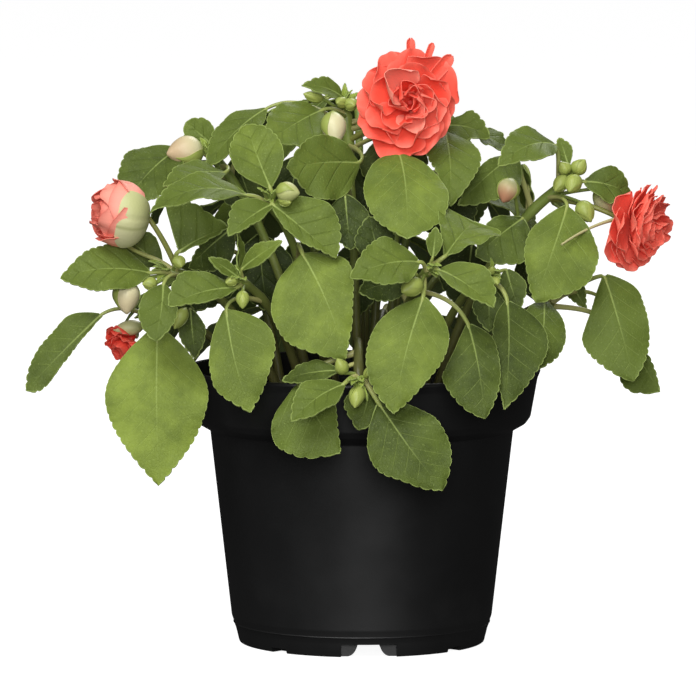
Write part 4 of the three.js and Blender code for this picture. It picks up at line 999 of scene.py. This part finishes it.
def grow_bud_bloom(bloom, rng):
    petals = Skin(PETAL_VALUES)
    u, v = petal_grid()
    corner, power = PETAL["corner"]

    def wrap_petal(share, start, end, half, turn, flare):
        reach = start + (end - start) * u * (1 - corner * np.abs(v) ** power * u)
        spread = half * (0.75 + 0.25 * smooth(u, 0, 0.5)) * v
        frill = BUD_BLOOM["frill_height"] * frilled(u, v, BUD_BLOOM["frills"], rng)
        radius = share * bud_radius(reach) + flare * u**4 + frill + 0.5 * v
        grid = on_bud(bloom, reach, radius, turn + spread)
        # Inner petals are painted deeper: painted shade inside the half-open bloom, partly their own colour.
        shade = (BUD_BLOOM["blush"] * (0.6 + 0.4 * share), 0.3 * (1 - share))
        add_petal(petals, grid[:, ::-1], u, -v, shade, rng, BUD_BLOOM["rim_deep"])

    for turn, end, half, flare in BUD_BLOOM["outer"]:
        wrap_petal(1.0, BUD_BLOOM["outer_start"], end, half, turn, flare)
    for count, share, start, end, half, turn, flare in BUD_BLOOM["layers"]:
        for k in range(count):
            aside = turn + 360 * k / count + rng.uniform(-8, 8)
            wrap_petal(share, start, end + rng.uniform(-1.5, 1), half, aside, flare)
    return petals


def grow_bud_sepals(stalks, bloom):
    sepal = BUD_BLOOM["sepal"]
    place, half, deep = sepal["seam"]
    u, v = petal_grid()
    seam = np.exp(-(((v - place) / half) ** 2))
    cream = 0.5 + 0.4 * smooth(v, -0.6, 0.8) - 0.3 * seam
    for turn, size in BUD_BLOOM["sepals"]:
        reach = sepal["start"] + (sepal["end"] * size - sepal["start"]) * u * (1 - 0.3 * np.abs(v) ** 4)
        spread = sepal["half"] * (0.85 + 0.15 * u) * v
        radius = bud_radius(reach) * 1.02 + 0.6 - deep * seam
        grid = on_bud(bloom, reach, radius, turn + spread)
        # Painted shade: the groove is coloured darker and less creamy.
        shades = {"lime": 0.5, "cream": cream * (0.8 + 0.2 * u), "dark": 0.45 * seam * u}
        stalks.add_sheet(grid[:, ::-1], sepal["thickness"], **shades)


# ---------------------------------------------------------------- materials


def fill(tree, target, inputs):
    """Gives each of these inputs of a node its constant, or links it to another node's output."""
    for key, value in inputs.items():
        if isinstance(value, bpy.types.NodeSocket):
            tree.links.new(value, target.inputs[key])
        else:
            target.inputs[key].default_value = value


def node(tree, kind, inputs=None, **settings):
    made = tree.nodes.new(kind)
    for key, value in settings.items():
        setattr(made, key, value)
    fill(tree, made, inputs or {})
    return made


def colour(red, green, blue):
    return (red, green, blue, 1)


class Shading:
    """A material under construction, with short ways to make its nodes."""

    def __init__(self, name, roughness, specular):
        self.material = bpy.data.materials.new(name)
        self.material.use_nodes = True
        self.tree = self.material.node_tree
        self.set({"Roughness": roughness, "Specular IOR Level": specular})
        self.place = node(self.tree, "ShaderNodeTexCoord").outputs["Object"]

    def set(self, inputs):
        fill(self.tree, self.tree.nodes["Principled BSDF"], inputs)

    def value(self, name):
        return node(self.tree, "ShaderNodeAttribute", attribute_name=name).outputs["Fac"]

    def maths(self, operation, a, b=0.0):
        return node(self.tree, "ShaderNodeMath", {0: a, 1: b}, operation=operation).outputs[0]

    def plus(self, a, b):
        return self.maths("ADD", a, b)

    def less(self, a, b):
        return self.maths("SUBTRACT", a, b)

    def times(self, a, b):
        return self.maths("MULTIPLY", a, b)

    def smooth(self, value, low, high, start=0.0, end=1.0):
        inputs = {"Value": value, "From Min": low, "From Max": high, "To Min": start, "To Max": end}
        return node(self.tree, "ShaderNodeMapRange", inputs, interpolation_type="SMOOTHSTEP").outputs[0]

    def mix(self, share, a, b):
        return node(self.tree, "ShaderNodeMix", {0: share, 6: a, 7: b}, data_type="RGBA").outputs[2]

    def noise(self, scale, detail=3.0, where=None):
        inputs = {"Vector": where or self.place, "Scale": scale, "Detail": detail}
        return node(self.tree, "ShaderNodeTexNoise", inputs).outputs["Fac"]

    def finish(self, base, height, bump):
        """bump: how high the relief stands (mm)."""
        raised = node(self.tree, "ShaderNodeBump", {"Height": height, "Distance": bump * MM, "Strength": 1.0})
        self.set({"Base Color": base, "Normal": raised.outputs["Normal"]})
        return self.material


# Tone colours, from painted deep shade to painted sunlight, partly also each leaf's own green.
LEAF_DARK = colour(0.028, 0.042, 0.009)
LEAF_MIDDLE = colour(0.107, 0.148, 0.025)
LEAF_LIGHT = colour(0.268, 0.348, 0.054)
LEAF_UNDER = colour(0.15, 0.2, 0.07)
LEAF_CREASE_SHADE = colour(0.04, 0.06, 0.014)
LEAF_VEIN = colour(0.36, 0.45, 0.13)


def leaf_material():
    s = Shading("leaf", 0.5, 0.12)
    broad = s.times(s.less(s.noise(90, 5), 0.5), 0.9)
    fine = s.times(s.less(s.noise(420), 0.5), 0.3)
    tone = s.plus(s.plus(broad, fine), s.value("tone"))
    dark = s.mix(s.smooth(tone, -1, 0), LEAF_DARK, LEAF_MIDDLE)
    face = s.mix(s.smooth(tone, 0, 1), dark, LEAF_LIGHT)
    speckle = s.smooth(s.noise(1500, 2), 0.62, 0.72)
    face = s.mix(s.times(speckle, 0.2), face, LEAF_VEIN)
    face = s.mix(s.times(s.value("under"), 0.7), face, LEAF_UNDER)

    phase, along, rim, quilted = (s.value(name) for name in ("phase", "along", "rim", "quilted"))
    nearest = s.maths("ABSOLUTE", s.less(phase, s.maths("ROUND", phase)))
    # Side veins sink into the relief and are painted darker there: painted shade in the creases.
    crease = s.times(s.smooth(nearest, 0.12, 0.0), s.times(quilted, s.smooth(rim, 0, 4)))
    face = s.mix(s.times(crease, 0.14), face, LEAF_CREASE_SHADE)
    side_vein = s.times(s.smooth(nearest, 0.05, 0.0), s.smooth(rim, 1, 6))
    midrib = s.smooth(s.plus(s.value("out"), s.times(along, 0.4)), 0.6, 0.15)
    midrib = s.times(midrib, s.smooth(along, 1, 0.1, 0.05, 0.6))
    margin = s.smooth(rim, 0.35, 0.08)
    lines = s.maths("MAXIMUM", s.times(side_vein, s.smooth(quilted, 0, 1, 0.22, 0.0)), midrib)
    lines = s.maths("MAXIMUM", lines, s.times(margin, 0.5))
    face = s.mix(lines, face, LEAF_VEIN)

    cells = {"Vector": s.place, "Scale": 800}
    cell_edge = node(s.tree, "ShaderNodeTexVoronoi", cells, feature="DISTANCE_TO_EDGE").outputs["Distance"]
    net = s.smooth(cell_edge, 0.0, 0.12)
    height = s.plus(s.times(net, 0.5), s.times(s.noise(900), 0.6))
    height = s.less(s.less(height, s.times(side_vein, 0.8)), crease)
    return s.finish(face, height, 0.11)


# Painted shade, on the low stems and in the sepals' grooves.
STALK_DARK = colour(0.03, 0.019, 0.008)
STALK_PALE = colour(0.3, 0.35, 0.09)
STALK_GREEN = colour(0.13, 0.2, 0.03)
STALK_PINK = colour(0.42, 0.15, 0.09)
BUD_LIME = colour(0.36, 0.42, 0.09)
BUD_CREAM = colour(0.66, 0.62, 0.38)


def stalk_material():
    s = Shading("stalk", 0.42, 0.35)
    green = s.plus(s.value("green"), s.times(s.noise(500), 0.3))
    base = s.mix(s.smooth(green, 0, 1.1), STALK_PALE, STALK_GREEN)
    for value, tint in (("lime", BUD_LIME), ("cream", BUD_CREAM), ("pink", STALK_PINK)):
        base = s.mix(s.value(value), base, tint)
    base = s.mix(s.times(s.value("dark"), 0.8), base, STALK_DARK)
    return s.finish(base, s.noise(1200), 0.1)


PETAL_DEEP = colour(0.5, 0.02, 0.012)
PETAL_CORAL = colour(0.85, 0.073, 0.041)
PETAL_EDGE = colour(0.88, 0.37, 0.28)
# Painted glow: the petals give off a faint red light of their own, standing in for the light that comes
# through them.
PETAL_PAINTED_GLOW = {"Emission Color": colour(1, 0.05, 0.035), "Emission Strength": 0.045}


def petal_material():
    s = Shading("petal", 0.5, 0.2)
    along = s.value("along")
    streak = node(s.tree, "ShaderNodeCombineXYZ", {"X": s.times(s.value("across"), 14.0), "Y": along})
    veins = s.noise(1.0, where=streak.outputs[0])
    # Deeper red towards each petal's root: partly the petal's own colour, partly painted shade between the
    # petals.
    base = s.mix(s.smooth(along, 0.0, 0.6), PETAL_DEEP, PETAL_CORAL)
    base = s.mix(s.value("blush"), base, PETAL_EDGE)
    edge = s.times(s.value("edge"), s.smooth(veins, 0.0, 0.5))
    base = s.mix(s.times(edge, 0.33), base, PETAL_EDGE)
    base = s.mix(s.value("deep"), base, PETAL_DEEP)
    s.set(PETAL_PAINTED_GLOW)
    return s.finish(base, s.plus(veins, s.noise(600, 2)), 0.12)


POT_BLACK = colour(0.0065, 0.0066, 0.0067)
POT_DUST = colour(0.018, 0.018, 0.0175)


def pot_material():
    s = Shading("pot_plastic", 0.46, 0.6)
    worn = s.smooth(s.noise(35, 5), 0.55, 0.8)
    base = s.mix(s.times(worn, 0.35), POT_BLACK, POT_DUST)
    s.set({"Roughness": s.smooth(s.noise(60, 4), 0.2, 0.8, 0.42, 0.52)})
    return s.finish(base, s.noise(1800, 2), 0.02)


SOIL_DARK = colour(0.02, 0.012, 0.007)
SOIL_LIGHT = colour(0.085, 0.05, 0.028)


def soil_material():
    s = Shading("potting_mix", 0.95, 0.15)
    base = s.mix(s.smooth(s.noise(900, 4), 0.3, 0.7), SOIL_DARK, SOIL_LIGHT)
    return s.finish(base, s.noise(1400, 5), 0.6)


# ---------------------------------------------------------------- pot

# Heights and radii of the outside, from the foot up. flash: the fine ridge that the mould leaves below the
# body: how far in it sits, how far it stands out, and how far under the body it starts, peaks and ends.
POT = {
    "segments": 144,
    "height": 100,
    "rim_radius": 65,
    "rim_lip": 0.9,
    "wall": 1.3,
    "collar": {"top": 96.5, "top_radius": 63.9, "bottom": 82.5, "bottom_radius": 61.4},
    "shoulder": {"height": 80.2, "in": 1.6, "inside": 1.4},
    "body": {"top": 77.5, "top_radius": 55.1, "bottom": 9.8, "bottom_radius": 47.4},
    "flash": {"in": 0.8, "out": 0.3, "below": [2.8, 2.6, 2.4]},
    "step": {"height": 5.2, "radius": 45.9},
    "foot_radius": 44.6,
    "floor": 6.2,
    "floor_in": 3,  # how far the inside narrows at the floor
    "fillet": 0.5,
}
DRAIN = {
    "turn": 3.4,
    "height": 4.7,
    "top_width": 7.6,
    "bottom_width": 14.6,
    "shoulder": {"out": 0.8, "up": 0.6},
    "hub": 9,
    "side_length": 30,
    "mouth": {"width": 20, "depth": 3.4},
    "notch": {"width": 7, "height": 1.7, "depth": 5, "angles": [45, 135, 225, 315]},
    "hole": {"radius": 3, "distance": 27, "segments": 32},
}
SHARP_POT_EDGE = math.radians(38)


def pot_profile():
    """Radius and height of the pot's outline, from the middle of its underside round to that of its floor."""
    collar, shoulder, body, flash = POT["collar"], POT["shoulder"], POT["body"], POT["flash"]
    wall, floor, height = POT["wall"], POT["floor"], POT["height"]
    rim, lip = POT["rim_radius"], POT["rim_lip"]
    ridge = body["bottom_radius"] - flash["in"]
    start, peak, end = [body["bottom"] - below for below in flash["below"]]
    return [
        (0, 0),
        (POT["foot_radius"], 0),
        (POT["step"]["radius"], POT["step"]["height"]),
        (ridge, start),
        (ridge + flash["out"], peak),
        (ridge, end),
        (body["bottom_radius"], body["bottom"]),
        (body["top_radius"], body["top"]),
        (collar["bottom_radius"] - shoulder["in"], shoulder["height"]),
        (collar["bottom_radius"], collar["bottom"]),
        (collar["top_radius"], collar["top"]),
        (rim, height - lip),
        (rim - lip * 0.6, height),
        (rim - wall - lip, height),
        (collar["top_radius"] - wall - 0.2, collar["top"]),
        (collar["bottom_radius"] - wall, collar["bottom"] + 1),
        (collar["bottom_radius"] - wall - shoulder["inside"], shoulder["height"] + wall),
        (body["top_radius"] - wall, body["top"] + wall),
        (body["bottom_radius"] - wall, body["bottom"]),
        (body["bottom_radius"] - wall - POT["floor_in"], floor),
        (0, floor),
    ]


def filleted(profile, radius):
    """The profile with a small arc of four points in place of each inner corner."""
    rounded = [profile[0]]
    for before, corner, after in zip(profile, profile[1:], profile[2:]):
        corner = vec(corner)
        back, on = vec(before) - corner, vec(after) - corner
        reach = min(radius, np.linalg.norm(back) / 2.2, np.linalg.norm(on) / 2.2)
        start, end = corner + unit(back) * reach, corner + unit(on) * reach
        rounded += [tuple(point) for point in bezier(start, corner, end, samples=4)]
    return [*rounded, profile[-1]]


def lathe(profile, segments):
    """Points and faces of a profile turned about Z. It starts and ends on the axis."""
    points = [(0, 0, profile[0][1])]
    for radius, height in profile[1:-1]:
        for k in range(segments):
            angle = 2 * math.pi * k / segments
            points.append((radius * math.cos(angle), radius * math.sin(angle), height))
    points.append((0, 0, profile[-1][1]))
    faces = []
    rings = len(profile) - 2
    for k in range(segments):
        beside = (k + 1) % segments
        faces.append([0, 1 + beside, 1 + k])
        for ring in range(rings - 1):
            low, high = 1 + ring * segments, 1 + (ring + 1) * segments
            faces.append([low + k, low + beside, high + beside, high + k])
        last = 1 + (rings - 1) * segments
        faces.append([last + k, last + beside, len(points) - 1])
    return points, faces


def prism(outline, start, length, degrees):
    """An outline (x, z) drawn out from y = -start towards -Y, then turned about Z."""
    count = len(outline)
    cos, sin = math.cos(math.radians(degrees)), math.sin(math.radians(degrees))
    points = []
    for y in (-start, -start - length):
        points += [(x * cos - y * sin, x * sin + y * cos, z) for x, z in outline]
    faces = [list(range(count))[::-1], list(range(count, 2 * count)), *band(0, count, count)]
    return points, faces


def box_outline(width, height):
    """A slot's outline, from 1 mm under the ground."""
    half = width / 2
    return [(-half, -1), (half, -1), (half, height), (-half, height)]


def groove_outline():
    top, bottom = DRAIN["top_width"] / 2, DRAIN["bottom_width"] / 2
    height, shoulder = DRAIN["height"], DRAIN["shoulder"]
    corners = [vec((bottom, 0)), vec((top + shoulder["out"], shoulder["up"])), vec((top, height))]
    right = [tuple(point) for point in bezier(*corners, samples=10)]
    left = [(-x, z) for x, z in right[::-1]]
    return [(-bottom, -1), (bottom, -1), *right, *left]


def drain_cutters():
    """Points and faces of what is cut out of the foot: two long grooves with a mouth, two short ones, four
    notches and four holes."""
    mouth, notch, hole = DRAIN["mouth"], DRAIN["notch"], DRAIN["hole"]
    outside = POT["step"]["radius"] + 2
    turns = [quarter + DRAIN["turn"] for quarter in (0, 90, 180, 270)]
    cutters = []
    for k, turn in enumerate(turns):
        is_open = k % 2 == 0
        length = outside if is_open else DRAIN["side_length"]
        cutters.append(prism(groove_outline(), DRAIN["hub"], length, turn))
        if is_open:
            opening = box_outline(mouth["width"], DRAIN["height"])
            cutters.append(prism(opening, POT["foot_radius"] - mouth["depth"], outside, turn))
    slot = box_outline(notch["width"], notch["height"])
    for angle in notch["angles"]:
        cutters.append(prism(slot, POT["foot_radius"] - notch["depth"], outside, angle + DRAIN["turn"]))
    top = POT["floor"] + 2
    drill, faces = lathe([(0, -1), (hole["radius"], -1), (hole["radius"], top), (0, top)], hole["segments"])
    for turn in turns:
        angle = math.radians(turn - 90)
        x, y = hole["distance"] * math.cos(angle), hole["distance"] * math.sin(angle)
        cutters.append(([(px + x, py + y, pz) for px, py, pz in drill], faces))
    return cutters


def cut_away(target, cutter):
    modifier = target.modifiers.new("cut", "BOOLEAN")
    modifier.operation = "DIFFERENCE"
    modifier.solver = "EXACT"
    modifier.object = cutter
    with bpy.context.temp_override(object=target, active_object=target, selected_objects=[target]):
        bpy.ops.object.modifier_apply(modifier=modifier.name)
    bpy.data.objects.remove(cutter)


def make_pot(material):
    pot = plain_object("nursery_pot", *lathe(filleted(pot_profile(), POT["fillet"]), POT["segments"]))
    for k, (points, faces) in enumerate(drain_cutters()):
        cut_away(pot, plain_object(f"cutter_{k}", points, faces))
    pot.data.shade_smooth()
    pot.data.set_sharp_from_angle(angle=SHARP_POT_EDGE)
    pot.data.materials.append(material)
    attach(pot, "root")
    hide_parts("pot")


# ---------------------------------------------------------------- potting mix

# radius: of the top, up to the pot's inside. mound: how far its middle stands up. skirt: how far its edge
# runs down the inside of the pot, and its share of the radius at the end.
# lumps: for clods, crumbs and fine crumbs: which slice of the noise they read, its scale and their height.
SOIL = {
    "radius": 60.55,
    "rings": 90,
    "sides": 260,
    "mound": 1.6,
    "skirt": (6, 0.97),
    "lumps": [(3, 0.09, 1.5), (7, 0.42, 1.6), (11, 1.1, 0.7)],
}


def soil_height(x, y):
    """Clods swell and sink, crumbs only stand out."""
    clod, *crumbs = [noise.noise(Vector((x, y, z)) * scale) * height for z, scale, height in SOIL["lumps"]]
    swell = SOIL["mound"] * (1 - (x * x + y * y) / SOIL["radius"] ** 2)
    return SOIL_TOP - 1 + swell + clod + sum(abs(crumb) for crumb in crumbs)


def make_soil(material):
    """The lumpy top of the mix, with a short skirt down the inside of the pot."""
    rings, sides = SOIL["rings"], SOIL["sides"]
    points = [(0, 0, SOIL_TOP + SOIL["mound"])]
    for ring in range(1, rings + 1):
        radius = SOIL["radius"] * ring / rings
        for k in range(sides):
            angle = 2 * math.pi * (k + 0.5 * (ring % 2)) / sides
            x, y = radius * math.cos(angle), radius * math.sin(angle)
            points.append((x, y, soil_height(x, y)))
    drop, narrower = SOIL["skirt"]
    points += [(x * narrower, y * narrower, SOIL_TOP - drop) for x, y, _ in points[-sides:]]
    faces = [[0, 1 + k, 1 + (k + 1) % sides] for k in range(sides)]
    for ring in range(rings):
        inner, outer = 1 + ring * sides, 1 + (ring + 1) * sides
        for k in range(sides):
            beside = (k + 1) % sides
            faces.append([inner + k, outer + k, outer + beside, inner + beside])
    faces.append(list(range(len(points) - sides, len(points)))[::-1])
    soil = plain_object("potting_mix", points, faces)
    soil.data.shade_smooth()
    soil.data.materials.append(material)
    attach(soil, "root")
    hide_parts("soil")


# ---------------------------------------------------------------- the plant


def toward(degrees):
    """The level direction at an angle from +X."""
    return vec([math.cos(math.radians(degrees)), math.sin(math.radians(degrees)), 0])


def back_shoot(lean, reach, height, count):
    """A shoot behind the ones listed, with leaves fanned about its lean."""
    out = toward(lean)
    foot = out * reach * BACK_SHOOT["foot_share"]
    tip = out * reach + UP * height
    leaves = []
    for k in range(count):
        aim = toward(lean + (k - (count - 1) / 2) * BACK_LEAF["spread"])
        pitch = math.radians(BACK_LEAF["pitch"] + BACK_LEAF["pitch_change"] * (k % 2))
        base = tip + aim * BACK_LEAF["stalk"]
        end = base + (aim * math.cos(pitch) - UP * math.sin(pitch)) * BACK_LEAF["length"]
        look = aim * BACK_LEAF["face_out"] + UP
        blade = [base, end, BACK_LEAF["width"], look, BACK_LEAF["arch"], BACK_LEAF["fold"]]
        leaves.append([f"leaf_{k}", BACK_SHOOT["leaves_from"], *blade])
    return {"foot": foot[:2], "tip": tip, "rise": BACK_SHOOT["rise"], "leaves": leaves, "buds": []}


def grow_shoot(leaves, stalks, name, shoot, tone):
    """Adds one shoot to the leaf and stalk skins. Its draws start from its own name."""
    rng = random.Random(name)
    stem = stem_path(shoot)
    grow_stem(stalks, shoot, stem)
    tones = TONES.get(name, {})
    for row in shoot["leaves"]:
        leaf_tone = tones.get(row[0], tone) + rng.uniform(-TONE_STRAY, TONE_STRAY)
        grow_leaf(leaves, stalks, row, stem, leaf_tone, rng)
    ripe = RIPE_BUDS.get(name, {})
    for k, row in enumerate(shoot["buds"]):
        grow_bud(stalks, row, stem, *ripe.get(k, (0, 0)))
    for bloom_name, bloom in BLOOMS.items():
        if bloom["shoot"] == name:
            grow_flower_stalk(stalks, bloom_name, bloom, stem)
    if shoot["buds"]:
        grow_sprout(leaves, stalks, shoot, stem, rng)


def grow_group(name, shoots, tone, green, fleshy):
    """The shoots of a group, as one piece of leaves and one of stalks, which stand for all their nodes."""
    leaves, stalks = Skin(LEAF_VALUES), Skin(STALK_VALUES)
    for shoot_name, shoot in shoots.items():
        grow_shoot(leaves, stalks, shoot_name, shoot, tone)
    leaves.piece(f"{name}_leaves", green, "shoot", *shoots)
    stalks.piece(f"{name}_stalks", fleshy, "shoot", *shoots)


def make_plant():
    green, fleshy, coral = leaf_material(), stalk_material(), petal_material()
    for name, shoot in SHOOTS.items():
        grow_group(name, {name: shoot}, FRONT_TONE, green, fleshy)
    grow_group("inner_shoots", INNER_SHOOTS, SHADE_TONE, green, fleshy)
    back = {f"shoot_back_{k + 1}": back_shoot(*row) for k, row in enumerate(BACK_SHOOTS)}
    grow_group("back_shoots", back, BACK_TONE, green, fleshy)
    for name, bloom in BLOOMS.items():
        rng = random.Random(name)
        petals = grow_bud_bloom(bloom, rng) if name == "bloom_left" else grow_bloom(name, bloom, rng)
        petals.piece(f"{name}_petals", coral, "petals", name)


# ---------------------------------------------------------------- stage, light and camera, in metres

CAMERA = {"place": (0, -2.2, 0.32), "aim": (-0.005, 0, 0.1069), "lens": 314.84, "sensor": 36}
LIGHTS = [
    # name, place, size, power
    ("key", (-0.6, -1.5, 1.9), 1.6, 50),
    ("front", (0.05, -2.5, 0.6), 0.9, 34),
    ("back", (0.5, 1.3, 1.5), 0.9, 16),
]
LIT_POINT = (0, 0, 0.12)
WORLD = {"seen": 1.02, "diffuse": 0.2, "glossy": 0.03}
FLOOR = {"half": 6000, "grey": colour(0.3, 0.3, 0.3), "glow": 0.93}  # half: of its side, in mm
WHITE = colour(1, 1, 1)


def aim(thing, target):
    thing.rotation_mode = "QUATERNION"
    thing.rotation_quaternion = (Vector(target) - thing.location).to_track_quat("-Z", "Y")


def make_camera():
    data = bpy.data.cameras.new("camera")
    data.lens = CAMERA["lens"]
    data.sensor_width = CAMERA["sensor"]
    camera = new_object("camera", data)
    camera.location = CAMERA["place"]
    aim(camera, CAMERA["aim"])
    bpy.context.scene.camera = camera


def make_lights():
    for name, place, size, power in LIGHTS:
        data = bpy.data.lights.new(name, "AREA")
        data.shape = "DISK"
        data.size = size
        data.energy = power
        light = new_object(name, data)
        light.location = place
        aim(light, LIT_POINT)


def make_world():
    """A white surround that is bright to the camera and dimmer as a light."""
    world = bpy.data.worlds.new("studio")
    world.use_nodes = True
    tree = world.node_tree
    rays = node(tree, "ShaderNodeLightPath").outputs
    strength = WORLD["diffuse"]
    for kind, level in (("Is Glossy Ray", WORLD["glossy"]), ("Is Camera Ray", WORLD["seen"])):
        inputs = {"Value": rays[kind], "To Min": strength, "To Max": level}
        strength = node(tree, "ShaderNodeMapRange", inputs).outputs[0]
    fill(tree, tree.nodes["Background"], {"Color": WHITE, "Strength": strength})
    bpy.context.scene.world = world


def make_floor():
    """The ground: its own glow makes it look white, and neither its light nor its mirror image falls on the
    plant."""
    half = FLOOR["half"]
    corners = [(-half, -half, 0), (half, -half, 0), (half, half, 0), (-half, half, 0)]
    floor = plain_object("floor", corners, [[0, 1, 2, 3]])
    floor.visible_diffuse = False
    floor.visible_glossy = False
    s = Shading("floor", 1, 0)
    s.set({"Base Color": FLOOR["grey"], "Emission Color": WHITE, "Emission Strength": FLOOR["glow"]})
    floor.data.materials.append(s.material)


bpy.context.scene.view_settings.view_transform = "Standard"
make_camera()
make_world()
make_floor()
make_lights()
make_pot(pot_material())
make_soil(soil_material())
make_plant()
